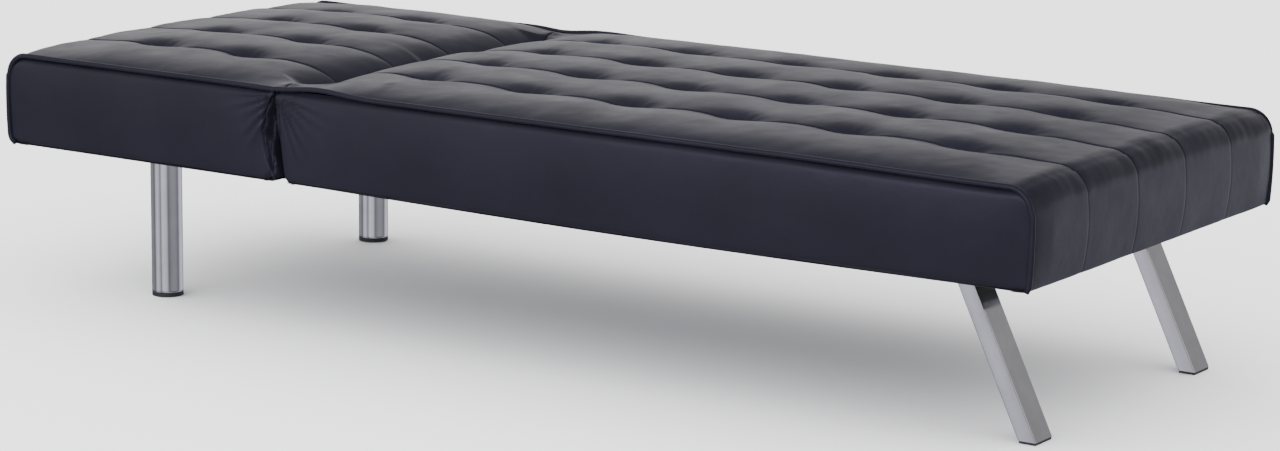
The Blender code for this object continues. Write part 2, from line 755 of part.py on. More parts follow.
def foot_leg_offset(z):
    """How far the splayed leg's middle has moved along X at height z."""
    return (LEG_PLATE_BOTTOM - z) * tan(SQUARE_LEG_SPLAY)


def add_foot_leg(side, sign):
    y = sign * FOOT_LEG_Y
    bottom = SQUARE_GLIDE_HEIGHT + CLEARANCE
    top = LEG_PLATE_BOTTOM - CLEARANCE
    half_x = SQUARE_LEG_DEPTH / 2 / cos(SQUARE_LEG_SPLAY)
    wall_x = LEG_WALL / cos(SQUARE_LEG_SPLAY)
    half_y = SQUARE_LEG_WIDTH / 2
    bm = bmesh.new()
    rings = []
    for z in (bottom, top):
        x = FOOT_LEG_X + foot_leg_offset(z)
        for shrink_x, shrink_y in ((0, 0), (wall_x, LEG_WALL)):
            ring = []
            for a, b in ((1, 1), (-1, 1), (-1, -1), (1, -1)):
                corner = (x + a * (half_x - shrink_x), y + b * (half_y - shrink_y), z)
                ring.append(bm.verts.new(corner))
            rings.append(ring)
    join_tube_rings(bm, *rings)
    add_object(f"foot_leg_{side}", mesh_from(bm, f"foot_leg_{side}"), chrome())
    add_foot_glide(side, y, half_x, wall_x)


def add_foot_glide(side, y, half_x, wall_x):
    """Plastic foot: a slab under the tube and a plug inside it."""
    slab_top = SQUARE_GLIDE_HEIGHT
    plug_top = slab_top + GLIDE_PLUG_HEIGHT
    slab_half = half_x - GLIDE_SETBACK
    plug_half = half_x - wall_x - CLEARANCE
    slab_x = FOOT_LEG_X + foot_leg_offset(slab_top)
    plug_x = FOOT_LEG_X + foot_leg_offset(plug_top)
    outline = [
        (plug_x - plug_half, plug_top), (slab_x - plug_half, slab_top),
        (slab_x - slab_half, slab_top), (slab_x - slab_half, 0),
        (slab_x + slab_half, 0), (slab_x + slab_half, slab_top),
        (slab_x + plug_half, slab_top), (plug_x + plug_half, plug_top),
    ]
    half_y = SQUARE_LEG_WIDTH / 2 - LEG_WALL - CLEARANCE
    name = f"foot_leg_glide_{side}"
    mesh = prism_mesh(name, outline, y - half_y, y + half_y)
    add_object(name, mesh, black_plastic())


def foot_bolt_places():
    places = []
    for _, sign in SIDES:
        for spread in (LEG_BOLT_SPREAD, -LEG_BOLT_SPREAD):
            places.append((FOOT_LEG_X, sign * (FOOT_LEG_Y + spread)))
    return places


def add_foot_leg_plate(side, sign, places):
    y = sign * FOOT_LEG_Y
    low = (FOOT_LEG_X - LEG_PLATE_LENGTH / 2, y - LEG_PLATE_WIDTH / 2, LEG_PLATE_BOTTOM)
    high = (FOOT_LEG_X + LEG_PLATE_LENGTH / 2, y + LEG_PLATE_WIDTH / 2, ARM_TOP)
    plate = add_box(f"foot_leg_plate_{side}", low, high, frame_paint())
    cut_bolt_holes(plate, places, LEG_PLATE_BOTTOM, LEG_PLATE_THICKNESS)
    for (x, bolt_y), label in zip(places, ("outer", "inner")):
        add_bolt(
            f"foot_leg_bolt_{side}_{label}", x, bolt_y,
            LEG_PLATE_BOTTOM - CLEARANCE, FRAME_BOTTOM + RAIL_WALL + BOLT_REACH,
        )


def rear_bolt_places(seat, from_hinge):
    places = []
    for _, sign in SIDES:
        for distance in from_hinge:
            places.append((seat.x(distance), sign * REAR_LEG_Y))
    return places


def add_rear_arm(side, sign, places):
    """Flat tube bolted under the seat, which carries the round leg and is the
    back section's rest when it lies flat."""
    y = sign * REAR_LEG_Y
    z = (ARM_TOP + ARM_BOTTOM) / 2
    start = REAR_LEG_X - ROUND_LEG_DIAMETER / 2 - REAR_ARM_OVERHANG
    end = HINGE_X + REAR_ARM_REACH
    arm = tube_between(
        f"rear_arm_{side}", (start, y, z), (end, y, z),
        REAR_ARM_WIDTH, REAR_ARM_HEIGHT, LEG_WALL, frame_paint(),
    )
    cut_bolt_holes(arm, places, ARM_BOTTOM, REAR_ARM_HEIGHT)
    stud_hole = cutter_cylinder(
        f"stud_hole_{side}", (REAR_LEG_X, y, ARM_BOTTOM - CUT_THROUGH),
        (REAR_LEG_X, y, z), STUD_RADIUS + CLEARANCE, HOLE_SIDES,
    )
    combine(arm, stud_hole)
    for (x, bolt_y), label in zip(places, ("front", "rear")):
        add_bolt(
            f"rear_arm_bolt_{side}_{label}", x, bolt_y,
            ARM_BOTTOM - CLEARANCE, FRAME_BOTTOM + RAIL_WALL + BOLT_REACH,
        )


def add_rear_leg(side, sign):
    """Round tube with a capped top, whose welded stud screws into the arm."""
    y = sign * REAR_LEG_Y
    radius = ROUND_LEG_DIAMETER / 2
    inner = radius - LEG_WALL
    top = ARM_BOTTOM - CLEARANCE
    cap_bottom = top - LEG_CAP_THICKNESS
    bottom = ROUND_GLIDE_HEIGHT + CLEARANCE
    stud_end = ARM_TOP - LEG_WALL - CLEARANCE
    profile = [
        (0, stud_end), (STUD_RADIUS, stud_end), (STUD_RADIUS, top), (radius, top),
        (radius, bottom), (inner, bottom), (inner, cap_bottom), (0, cap_bottom),
    ]
    place = (REAR_LEG_X, y, 0)
    add_turned(f"rear_leg_{side}", profile, place, UPRIGHT, chrome(), LEG_SIDES)
    plug = inner - CLEARANCE
    glide_top = ROUND_GLIDE_HEIGHT + GLIDE_PLUG_HEIGHT
    glide = [
        (0, glide_top), (plug, glide_top), (plug, ROUND_GLIDE_HEIGHT),
        (radius, ROUND_GLIDE_HEIGHT), (radius, 0), (0, 0),
    ]
    add_turned(f"rear_leg_glide_{side}", glide, place, UPRIGHT, black_plastic(), LEG_SIDES)


# ---- assembly ----

def spread_between(start, end, count):
    """Places of this many springs between two rails."""
    return [start + (end - start) * (i + 0.5) / count for i in range(count)]


def add_seat(seat):
    rear_rail = HINGE_RAIL_START + RAIL_WIDTH / 2
    arm_rail = REAR_ARM_REACH - RAIL_WIDTH
    leg_rail = seat.length - SQUARE_LEG_FROM_END
    foot_rail = (seat.length - SIDE_CHAMFER - COVER_THICKNESS - FRAME_INSET
                 - RAIL_WIDTH / 2)
    middle_rail = (arm_rail + leg_rail) / 2
    arm_bolts = rear_bolt_places(seat, (arm_rail, rear_rail))
    leg_bolts = foot_bolt_places()
    add_side_rails(seat)
    add_cross_rail(seat, "hinge_rail", rear_rail, bolts=arm_bolts[1::2], plates=True)
    add_cross_rail(seat, "arm_rail", arm_rail, bolts=arm_bolts[0::2])
    add_cross_rail(seat, "middle_rail", middle_rail)
    add_cross_rail(seat, "leg_rail", leg_rail, width=LEG_RAIL_WIDTH, bolts=leg_bolts)
    add_cross_rail(seat, "foot_rail", foot_rail)
    first_group = SEAT_SPRINGS // 2
    springs = spread_between(arm_rail, middle_rail, first_group)
    springs += spread_between(middle_rail, leg_rail, SEAT_SPRINGS - 1 - first_group)
    springs.append((rear_rail + arm_rail) / 2)
    add_springs(seat, springs)
    add_foam(seat)
    add_cover(seat)
    add_dust_cover(seat, arm_bolts + leg_bolts)
    for index, (side, sign) in enumerate(SIDES):
        add_piping(seat, side, sign)
        add_rear_arm(side, sign, arm_bolts[2 * index:2 * index + 2])
        add_rear_leg(side, sign)
        add_foot_leg(side, sign)
        add_foot_leg_plate(side, sign, leg_bolts[2 * index:2 * index + 2])


def add_back(back):
    hinge_rail = HINGE_RAIL_START + RAIL_WIDTH / 2
    head_rail = (back.length - SIDE_CHAMFER - COVER_THICKNESS - FRAME_INSET
                 - RAIL_WIDTH / 2)
    add_side_rails(back)
    add_cross_rail(back, "hinge_rail", hinge_rail, plates=True)
    add_cross_rail(back, "head_rail", head_rail)
    add_springs(back, spread_between(hinge_rail, head_rail, BACK_SPRINGS))
    add_foam(back)
    add_cover(back)
    add_dust_cover(back, ())
    for side, sign in SIDES:
        add_piping(back, side, sign)


def main():
    for old in list(bpy.data.objects):
        bpy.data.objects.remove(old)
    pivot = bpy.data.objects.new("backrest_pivot", None)
    pivot.location = (HINGE_X, 0, PIVOT_Z)
    bpy.context.scene.collection.objects.link(pivot)
    seat = Section("seat", 1)
    back = Section("back", -1, pivot)
    add_seat(seat)
    add_back(back)
    for side, sign in SIDES:
        add_hinge(seat, back, side, sign)


main()
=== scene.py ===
"""Looks of the futon sofa bed: tufted upholstery, piping, gathered hinge gussets,
polished legs and every visible material. Metres, in the CAD's own frame."""

import json
from math import cos, pi, radians, sin

import bpy
import numpy as np
from mathutils import Euler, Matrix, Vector, noise


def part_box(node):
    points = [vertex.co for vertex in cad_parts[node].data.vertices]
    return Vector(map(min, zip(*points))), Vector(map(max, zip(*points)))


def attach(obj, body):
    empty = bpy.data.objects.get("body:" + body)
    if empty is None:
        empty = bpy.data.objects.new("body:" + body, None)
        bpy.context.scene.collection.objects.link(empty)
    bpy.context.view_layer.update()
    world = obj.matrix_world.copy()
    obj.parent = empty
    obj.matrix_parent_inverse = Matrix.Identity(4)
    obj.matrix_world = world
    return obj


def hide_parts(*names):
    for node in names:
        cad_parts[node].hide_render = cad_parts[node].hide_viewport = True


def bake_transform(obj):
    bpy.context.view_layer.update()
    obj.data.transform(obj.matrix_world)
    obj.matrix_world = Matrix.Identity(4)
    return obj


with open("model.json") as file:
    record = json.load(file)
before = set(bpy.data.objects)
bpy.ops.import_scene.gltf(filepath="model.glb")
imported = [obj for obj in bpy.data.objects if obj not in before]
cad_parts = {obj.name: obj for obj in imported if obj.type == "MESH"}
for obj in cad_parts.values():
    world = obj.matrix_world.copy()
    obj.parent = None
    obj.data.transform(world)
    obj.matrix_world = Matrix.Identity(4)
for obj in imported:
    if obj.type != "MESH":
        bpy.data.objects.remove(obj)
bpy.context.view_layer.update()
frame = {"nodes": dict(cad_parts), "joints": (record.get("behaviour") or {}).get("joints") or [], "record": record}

# ---- places read from the frame ----

BASE = "base"
BACKREST = "backrest"
SIDES = (("left", 1), ("right", -1))
RECLINE = next(j for j in frame["joints"] if j["name"] == "recline")
HINGE_X = RECLINE["pos_m"][0]
SEAT_LOW, SEAT_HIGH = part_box("seat_cover")
BACK_LOW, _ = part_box("back_cover")
PIPING_LOW, PIPING_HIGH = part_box("seat_piping_left")
UNDERSIDE_Z = SEAT_LOW[2]
PANEL_Y = SEAT_HIGH[1]
PIPING_RADIUS = (PIPING_HIGH[1] - PIPING_LOW[1]) / 2
PIPING_Z = PIPING_HIGH[2] - PIPING_RADIUS
SEAT_LENGTH = SEAT_HIGH[0] - HINGE_X
BACK_LENGTH = HINGE_X - BACK_LOW[0]
EYE_LOW, EYE_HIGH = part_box("hinge_pin_left")
EYE_Y = (EYE_LOW[1] + EYE_HIGH[1]) / 2
PAWL_LOW, PAWL_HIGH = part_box("pawl_left")
PAWL_Y = (PAWL_LOW[1] + PAWL_HIGH[1]) / 2
POCKET_LOW_Z = PAWL_LOW[2] - 0.012
POCKET_HIGH_Z = PAWL_HIGH[2] + 0.010

# ---- upholstery shape ----

STRIPS = 5                    # equal strips across, with a seam between each two
FIRST_TUFT = 0.177            # from the hinge
TUFT_PITCH = 0.1835
SEAT_TUFTS = 6
BACK_TUFTS = 2
SEAT_CROWN = 0.0120           # middle of the pad above the piping
BACK_CROWN = 0.0145
PILLOW = 0.0046               # strip's middle above its seams
SIDE_RISE = 0.0066            # pad's rise beside the piping, and how far in it goes on
SIDE_RISE_REACH = 0.030
SEAM_DIP = 0.0018             # soft valley along a seam
SEAM_DIP_REACH = 0.008
SEAM_LIP = 0.0005             # raised lips beside the sewn line
SEAM_LIP_AT = 0.0038
TUFT_DEPTH = 0.0138
FIRST_TUFT_SHARE = 0.58       # the seat's first tufts lie on its slope, so they are shallower
TUFT_PULL = 0.0042            # wide hollow round a tuft
TUFT_PULL_REACH = 0.040
TUFT_WANDER = 0.004           # how far tufts stray from even spacing
TUFT_CHANGE = 0.22            # how much they differ in depth
TUFT_REACH_X = 0.030
TUFT_REACH_Y = 0.0120
GROOVE_DEPTH = 0.0024         # sewn line itself
GROOVE_HALF_WIDTH = 0.0018
END_RADIUS = 0.034
SEAT_FADE = 0.162             # from the hinge, where the crown has its full height
BACK_FADE = 0.170
RISE_START = 0.010            # from the hinge, where the seat's crown starts
CORNER_SETBACK = 0.048        # how much further back it starts at the sides
SETBACK_START_Y = 0.10
END_FADE = 0.19               # from the far end, where the relief has its full height
END_SHARE = 0.45              # what is left of it at the end
ROLL_LENGTH = 0.066           # rounding at the hinge end, along X and down
ROLL_DROP = 0.024
SIDE_ROLL_LENGTH = 0.006      # the same beside the piping
SIDE_ROLL_DROP = 0.0030
HINGE_FACE_TOP = 0.0015       # hinge face from the hinge plane, at its top
SIDE_FACE_TOP = 0.0002        # the same beside the piping, where the pads close over the hinge
SIDE_ROLL_START = 0.078       # from the side panel in to where the tight rolls have faded
SIDE_ROLL_FULL = 0.050
EYE_SWELL = 0.0050            # padding raised over each hinge eye
EYE_SWELL_REACH = 0.016
HINGE_FACE_LEAN = 0.009
END_BULGE = 0.009             # end panel's fullness
CORNER_BULGE_SHARE = 0.35     # what is left of it at the panel's sides
END_ZONE = 0.05               # last part of a side panel, which turns to the end
SIDE_BULGE = 0.0075
TUCK = 0.0048                 # side panel's top edge, drawn in under the piping
LIP_DEPTH = 0.027             # side panel's return into the hinge pocket
LIP_RADIUS = 0.005
LIP_COLUMNS = 0.008           # stretch of negative distances that stands for the lip
GRID_STEP = 0.0052
HEM_WIDTH = 0.020
HEM_DROP = 0.0006             # hem under the frame's underside
HEM_START = 0.0025            # its outer edge from the side panel's plane
FOOT_TUCK = 0.007             # rounding of the end panel's lower edge
HEAD_TUCK = 0.015

# Each side's piping line, right (-1) and left (1): off the straight line along the seat
EDGE_RISE = {-1: 0.0055, 1: 0.002}
EDGE_RISE_AT = 0.080
EDGE_RISE_REACH = 0.060
EDGE_DIP = {-1: 0.001, 1: 0.004}    # at the hinge
EDGE_DIP_REACH = 0.045
FOOT_DROP = 0.003
FOOT_DROP_START = 0.9
FOOT_DROP_LENGTH = 0.3
BOTTOM_SAG = 0.0048           # the seat's lower edge between its legs

# Side panels' edges at the notch, from the hinge plane
SEAT_NOTCH_TOP = -0.0085
SEAT_NOTCH_WIDENING = 0.0180
BACK_NOTCH_TOP = 0.0095
BACK_NOTCH_BOW = 0.0190
BACK_NOTCH_WIDENING = 0.0035
NOTCH_PINCH = 0.10            # how far along the panel the notch's shape is felt
PANEL_CORNER_DROP = 0.007     # rounding of the panels' upper and lower corners there
SEAT_CORNER_LIFT = 0.002
BACK_CORNER_LIFT = 0.010
HEM_PULL = 0.004              # side panel's lower edge, drawn in to its staples

# Noise on the stretched sheet: height, size of the bumps, seed
BROAD_WAVES = (0.0012, 0.080, 1.3)
FINE_WAVES = (0.00035, 0.024, 5.1)
END_CRINKLE = 0.0012
PANEL_WAVES = (0.0011, 0.11, 2.6)
PANEL_RIPPLES = (0.0004, 0.030, 6.6)
PUCKER_HEIGHT = 0.00055
PUCKER_RADIUS = 0.018         # ring round a tuft where its pleats stand highest
PUCKER_WIDTH = 0.014
GATHER_HEIGHT = 0.0030        # pleats of the side panels beside the hinge
BACK_GATHER_SHARE = 1.5       # the back's pleats against the seat's
SEAT_GATHER_REACH = 0.064
BACK_GATHER_REACH = 0.055
SLUMP = 0.0025                # hollow in the back's panel beside the notch
POCKET_DEPTH = 0.052
POCKET_HALF_WIDTH = 0.008
GUSSET_ALLOWANCE = 0.024      # how far a gusset goes on inside each pad


def smoothstep(low, high, value):
    """Eased rise from 0 at low to 1 at high, for numbers or arrays."""
    t = np.clip((value - low) / (high - low), 0, 1)
    return t * t * (3 - 2 * t)


def smooth(t):
    """Eased rise from 0 to 1 of a single number."""
    t = min(1.0, max(0.0, t))
    return t * t * (3 - 2 * t)


def rough(x, y, z, scale, seed):
    """Smooth noise in -1..1 at a point; scale is the size of its bumps in metres."""
    return noise.noise(Vector((x / scale + seed, y / scale - seed, z / scale + 3.7 * seed)))


def rough_grid(x, y, z, scale, seed):
    """The same at every point of a grid."""
    out = np.empty(x.shape)
    for index in np.ndindex(x.shape):
        out[index] = rough(x[index], y[index], z[index], scale, seed)
    return out


def waves(x, y, z, kind):
    height, scale, seed = kind
    return height * rough_grid(x, y, z, scale, seed)


def new_object(name, verts, faces, body=None, rounded=True):
    mesh = bpy.data.meshes.new(name)
    mesh.from_pydata([tuple(map(float, v)) for v in verts], [], faces)
    mesh.update()
    if rounded:
        mesh.shade_smooth()
    made = bpy.data.objects.new(name, mesh)
    bpy.context.scene.collection.objects.link(made)
    if body:
        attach(made, body)
    return made


def grid_faces(rows, columns, flip=False, start=0, closed=False):
    faces = []
    last = columns if closed else columns - 1
    for i in range(rows - 1):
        for j in range(last):
            k = (j + 1) % columns
            corners = [i * columns + j, i * columns + k, (i + 1) * columns + k,
                       (i + 1) * columns + j]
            if flip:
                corners.reverse()
            faces.append([start + c for c in corners])
    return faces


def join_grids(name, grids, body):
    """One object from several grids of points, each (rows, columns, 3) with a flip."""
    verts = []
    faces = []
    for points, flip in grids:
        rows, columns = points.shape[:2]
        faces += grid_faces(rows, columns, flip, len(verts))
        verts += list(points.reshape(-1, 3))
    return new_object(name, verts, faces, body)


class Pad:
    """Upholstery of one section. Distances d run from the hinge, so that both
    sections share one set of rules; direction turns them into X."""

    def __init__(self, name, direction, length, tufts, body, end_tuck):
        self.name = name
        self.direction = direction
        self.length = length
        self.body = body
        self.end_tuck_radius = end_tuck
        self.tufts = [FIRST_TUFT + TUFT_PITCH * i for i in range(tufts)]
        self.seams = [PANEL_Y * (-1 + 2 * i / STRIPS) for i in range(1, STRIPS)]

    # -- edges that several panels share --

    def edge_z(self, d, sign):
        """Height of the piping line, with its rise and dip beside the hinge."""
        z = PIPING_Z + 0 * d
        if self.direction > 0:
            rise = np.exp(-((d - EDGE_RISE_AT) / EDGE_RISE_REACH) ** 2)
            z = z + EDGE_RISE[sign] * rise
            z = z - FOOT_DROP * np.clip((d - FOOT_DROP_START) / FOOT_DROP_LENGTH, 0, 1)
        return z - EDGE_DIP[sign] * np.exp(-(d / EDGE_DIP_REACH) ** 2)

    def bottom_z(self, d):
        """Underside edge, which sags a little between the legs."""
        if self.direction < 0:
            return UNDERSIDE_Z + 0 * d
        middle = np.sin(pi * np.clip(d / self.length, 0, 1)) ** 1.2
        return UNDERSIDE_Z - BOTTOM_SAG * middle

    def end_tuck(self, z):
        """How far the end is drawn in at height z, by its rounded lower edge."""
        radius = self.end_tuck_radius
        below = np.clip(radius - (z - UNDERSIDE_Z), 0, radius)
        return radius - np.sqrt(radius ** 2 - below ** 2)

    def corner_z(self, d):
        """Height of the cover's edge over the rounded far corner."""
        past = np.clip(d - (self.length - END_RADIUS), 0, END_RADIUS)
        return PIPING_Z - END_RADIUS + np.sqrt(END_RADIUS ** 2 - past ** 2)

    def hinge_edge(self, share):
        """Side panel's edge from the hinge plane; share is 0 at the piping, 1 below."""
        share = np.clip(share, 0, 1)
        if self.direction > 0:
            return SEAT_NOTCH_TOP + SEAT_NOTCH_WIDENING * share ** 1.1
        bow = BACK_NOTCH_BOW * np.sin(pi * share ** 0.85) ** 0.8
        return BACK_NOTCH_TOP + bow + BACK_NOTCH_WIDENING * share

    # -- the cover over the end, the top and the hinge face --

    def outline(self, y):
        """Points (d, z) from the far end's hem over the top to the hinge's hem, for
        one place across. Beside the piping the hinge end hardly rolls over."""
        side = float(smoothstep(PANEL_Y - SIDE_ROLL_START, PANEL_Y - SIDE_ROLL_FULL, abs(y)))
        length = ROLL_LENGTH + (SIDE_ROLL_LENGTH - ROLL_LENGTH) * side
        drop = ROLL_DROP + (SIDE_ROLL_DROP - ROLL_DROP) * side
        top = PIPING_Z
        bottom = UNDERSIDE_Z
        far = self.length
        turn = self.end_tuck_radius
        hem_z = bottom - HEM_DROP
        points = [(far - turn - HEM_WIDTH * (1 - k / 3), hem_z) for k in range(3)]
        heights = bottom + (top - END_RADIUS - bottom) * (1 - np.cos(
            np.linspace(0, pi / 2, 22, endpoint=False)))
        points += [(far - self.end_tuck(z), z) for z in heights]
        for angle in np.linspace(0, pi / 2, 14, endpoint=False):
            points.append((far - END_RADIUS + END_RADIUS * cos(angle),
                           top - END_RADIUS + END_RADIUS * sin(angle)))
        start = far - END_RADIUS
        count = int((start - ROLL_LENGTH) / GRID_STEP)
        points += [(d, top) for d in np.linspace(start, length, count, endpoint=False)]
        face = HINGE_FACE_TOP + (SIDE_FACE_TOP - HINGE_FACE_TOP) * side
        reach = length - face
        for angle in np.linspace(pi / 2, pi, 24, endpoint=False):
            points.append((length + reach * cos(angle), top - drop + drop * sin(angle)))
        for z in np.linspace(top - drop, bottom, 16):
            share = (top - drop - z) / (top - drop - bottom)
            points.append((face + HINGE_FACE_LEAN * share, z))
        start = face + HINGE_FACE_LEAN
        points += [(start + HEM_WIDTH * k / 3, hem_z) for k in range(1, 4)]
        return np.array(points)

    def columns(self):
        """Places across the pad, close together at the seams and the piping."""
        near_seam = (0.0007, 0.0016, 0.0030, 0.0055, 0.0095)
        plain = 0.0145        # from a seam, where even spacing starts
        width = 2 * PANEL_Y / STRIPS
        places = []
        for strip in range(STRIPS):
            left = -PANEL_Y + strip * width
            places += [left] + [left + step for step in near_seam]
            places += list(np.linspace(left + plain, left + width - plain, 21))
            places += [left + width - step for step in reversed(near_seam)]
        places.append(PANEL_Y)
        return np.array(places)

    def relief(self, d, y, top, end):
        """Stand-off of the cover: crown, pillows, valleys, tufts and sewn lines."""
        across = np.abs(y) / PANEL_Y
        from_side = PANEL_Y - np.abs(y)
        strip = (y + PANEL_Y) / (2 * PANEL_Y) * STRIPS
        in_strip = np.clip(strip - np.floor(np.clip(strip, 0, STRIPS - 1e-6)), 0, 1)
        pillow = np.sin(pi * in_strip) ** 0.55
        crown = SEAT_CROWN if self.direction > 0 else BACK_CROWN
        high = crown * (1 - across ** 3.2) * top
        high = high + PILLOW * pillow * (0.03 + 0.97 * top)
        high = high + SIDE_RISE * (1 - np.exp(-from_side / SIDE_RISE_REACH)) * top
        for row, seam in enumerate(self.seams):
            off = np.abs(y - seam)
            dip = SEAM_DIP * np.exp(-off / SEAM_DIP_REACH)
            for number, place in enumerate(self.tufts):
                key = 3.1 * row + 1.7 * number + 11 * self.direction
                wander = noise.noise(Vector((key, 0.4, 0.9)))
                depth = TUFT_DEPTH * (1 + TUFT_CHANGE * noise.noise(Vector((0.3, key, 0.7))))
                if number == 0 and self.direction > 0:
                    depth *= FIRST_TUFT_SHARE
                along = np.abs(d - place - TUFT_WANDER * wander) / TUFT_REACH_X
                cusp = np.sqrt(along ** 2 + (off / TUFT_REACH_Y) ** 2 + 0.002)
                dip = dip + depth * np.exp(-cusp ** 1.05)
                pull = np.exp(-(along / 1.3) ** 2) * np.exp(-(off / TUFT_PULL_REACH) ** 1.5)
                dip = dip + TUFT_PULL * pull
            lip = SEAM_LIP * np.exp(-((off - SEAM_LIP_AT) / GROOVE_HALF_WIDTH) ** 2)
            groove = GROOVE_DEPTH * np.exp(-(off / GROOVE_HALF_WIDTH) ** 2)
            if self.direction < 0:
                groove = groove * (0.3 + 0.7 * smoothstep(0.01, 0.08, d))
            high = high - dip * top + lip * top - groove * (0.12 + 0.88 * top)
        return high + END_BULGE * end

    def wrinkles(self, x, y, z, corner):
        """Small unevenness of stretched sheet: broad all over, crinkled at the edge."""
        stretched = waves(x, y, z, BROAD_WAVES) + waves(x, y, z, FINE_WAVES)
        crinkle = 0.6 * rough_grid(x * 0.4, y, z * 0.4, 0.017, 8.2)
        crinkle = crinkle + rough_grid(x * 0.6, y * 0.7, z * 0.6, 0.038, 2.9)
        on_end = np.where(z < PIPING_Z - 0.5 * END_RADIUS, 0.45, 1.0)
        return stretched * on_end + END_CRINKLE * corner * crinkle

    def puckers(self, d, y, top):
        """Short pleats that run out from each tuft."""
        total = 0 * d
        for row, seam in enumerate(self.seams):
            for number, place in enumerate(self.tufts):
                dx = d - place
                dy = y - seam
                r = np.hypot(dx, dy * 1.3)
                turn = np.arctan2(dy, dx)
                phase = 1.7 * row + 2.3 * number
                wave = np.cos(9 * turn + phase) + 0.6 * np.cos(5 * turn - phase)
                total = total + wave * np.exp(-((r - PUCKER_RADIUS) / PUCKER_WIDTH) ** 2)
        return PUCKER_HEIGHT * total * top

    def cover_points(self):
        y = self.columns()
        lines = np.stack([self.outline(place) for place in y], axis=1)
        d = lines[..., 0]
        z = lines[..., 1]
        step = np.gradient(lines, axis=0)
        normal = np.stack([step[..., 1], -step[..., 0]], axis=-1)
        normal /= np.linalg.norm(normal, axis=-1)[..., None]
        yy = np.broadcast_to(y[None, :], d.shape)
        height = np.clip((z - UNDERSIDE_Z) / (PIPING_Z - UNDERSIDE_Z), 0, 1)
        at_end = d > self.length - END_RADIUS
        up = np.clip(normal[..., 1], 0, 1)
        # all of the crown on the top, fading round the far corner and to the hinge
        to_end = self.length - 0.3 * END_RADIUS - d
        fade_end = smoothstep(0.0, END_FADE, to_end) * (1 - END_SHARE) + END_SHARE
        if self.direction > 0:
            # the pad's corners are drawn back from the hinge
            setback = smoothstep(SETBACK_START_Y, PANEL_Y, np.abs(yy))
            begins = RISE_START + CORNER_SETBACK * setback
            fade_hinge = np.clip((d - begins) / (SEAT_FADE - begins), 0, 1) ** 0.8
        else:
            fade_hinge = 1 - (1 - np.clip(d / BACK_FADE, 0, 1)) ** 2
        top = np.where(at_end, END_SHARE * up ** 1.5, fade_end) * fade_hinge
        top = np.where(up > 0.02, top, 0)
        end = np.sin(pi * height) ** 0.8 * (d > self.length - 0.5 * END_RADIUS)
        from_side = PANEL_Y - np.abs(yy)
        side_fade = np.clip(from_side / 0.05, 0, 1) ** 0.5
        held = np.clip(from_side / 0.012, 0, 1)
        corner = at_end * np.clip(up * (1.2 - up) * 2.6, 0, 1)
        share = CORNER_BULGE_SHARE + (1 - CORNER_BULGE_SHARE) * side_fade
        off = self.relief(d, yy, top, end * share)
        off = off + self.wrinkles(d * self.direction, yy, z, corner) * held
        off = off + self.puckers(d, yy, top)
        lift = np.where(yy < 0, self.edge_z(d, -1), self.edge_z(d, 1)) - PIPING_Z
        lift = lift + EYE_SWELL * np.exp(-((np.abs(yy) - EYE_Y) / EYE_SWELL_REACH) ** 2
                                         - (d / EYE_SWELL_REACH) ** 2)
        drop = (self.bottom_z(d) - UNDERSIDE_Z) * (1 - height)
        # the hinge face is narrower, so that the side panels' lips pass it
        facing = (normal[..., 0] < 0) & (d < 0.09)
        inward = np.where(facing, smoothstep(0.0, 0.5, 1 - height), 0)
        y_out = yy * (1 - inward * LIP_DEPTH / PANEL_Y)
        back_off = POCKET_DEPTH * facing * self.pocket(y_out, z) * (self.direction > 0)
        out = np.empty(d.shape + (3,))
        out[..., 0] = HINGE_X + self.direction * (d + off * normal[..., 0] + back_off)
        out[..., 1] = y_out
        out[..., 2] = z + drop + lift * height + off * normal[..., 1]
        return out

    def pocket(self, y, z):
        """Share of the pocket's depth: an opening in the hinge face round each pawl."""
        away = np.abs(np.abs(y) - PAWL_Y)
        across = 1 - smoothstep(POCKET_HALF_WIDTH, POCKET_HALF_WIDTH + 0.008, away)
        low = smoothstep(POCKET_LOW_Z - 0.010, POCKET_LOW_Z, z)
        high = 1 - smoothstep(POCKET_HIGH_Z, POCKET_HIGH_Z + 0.010, z)
        return across * low * high

    # -- the flat panels --

    def side_points(self, sign):
        """Side panel, full in the middle, gathered at the hinge, with its lip turned
        into the hinge pocket."""
        far = self.length
        count = int(far / 0.010)
        flat = [NOTCH_PINCH * (k / 30) ** 1.25 for k in range(30)]
        flat += list(np.linspace(NOTCH_PINCH, far - END_RADIUS, count, endpoint=False))
        flat += [far - END_RADIUS + END_RADIUS * sin(a) for a in np.linspace(0, pi / 2, 12)]
        inner = [-LIP_COLUMNS, -0.0055, -0.0035, -0.002, -0.001]
        base = np.array(inner + flat)
        rows = (1 - np.cos(np.linspace(0, pi, 40))) / 2
        dd, tt = np.meshgrid(base, rows, indexing="ij")
        on_flat = np.maximum(dd, 0)
        corner = PANEL_CORNER_DROP * np.exp(-on_flat / 0.005)
        top = np.minimum(self.corner_z(on_flat), self.edge_z(on_flat, sign)) - 0.001 - corner
        if self.direction > 0:
            lifted = SEAT_CORNER_LIFT * np.exp(-on_flat / 0.006)
        else:
            lifted = BACK_CORNER_LIFT * np.exp(-(on_flat / 0.010) ** 2)
        bottom = self.bottom_z(on_flat) + lifted
        z = bottom + (top - bottom) * tt
        share = 1 - tt
        pinch = np.clip(1 - on_flat / NOTCH_PINCH, 0, 1) ** 1.5
        d = on_flat + self.hinge_edge(share) * pinch
        d = d - self.end_tuck(z) * smoothstep(far - END_ZONE, far, on_flat)
        height = np.clip((z - UNDERSIDE_Z) / (PIPING_Z - UNDERSIDE_Z), 0, 1)
        end = np.clip((on_flat - (far - END_ZONE)) / END_ZONE, 0, 1)
        d = d + END_BULGE * CORNER_BULGE_SHARE * np.sin(pi * height) ** 0.8 * end
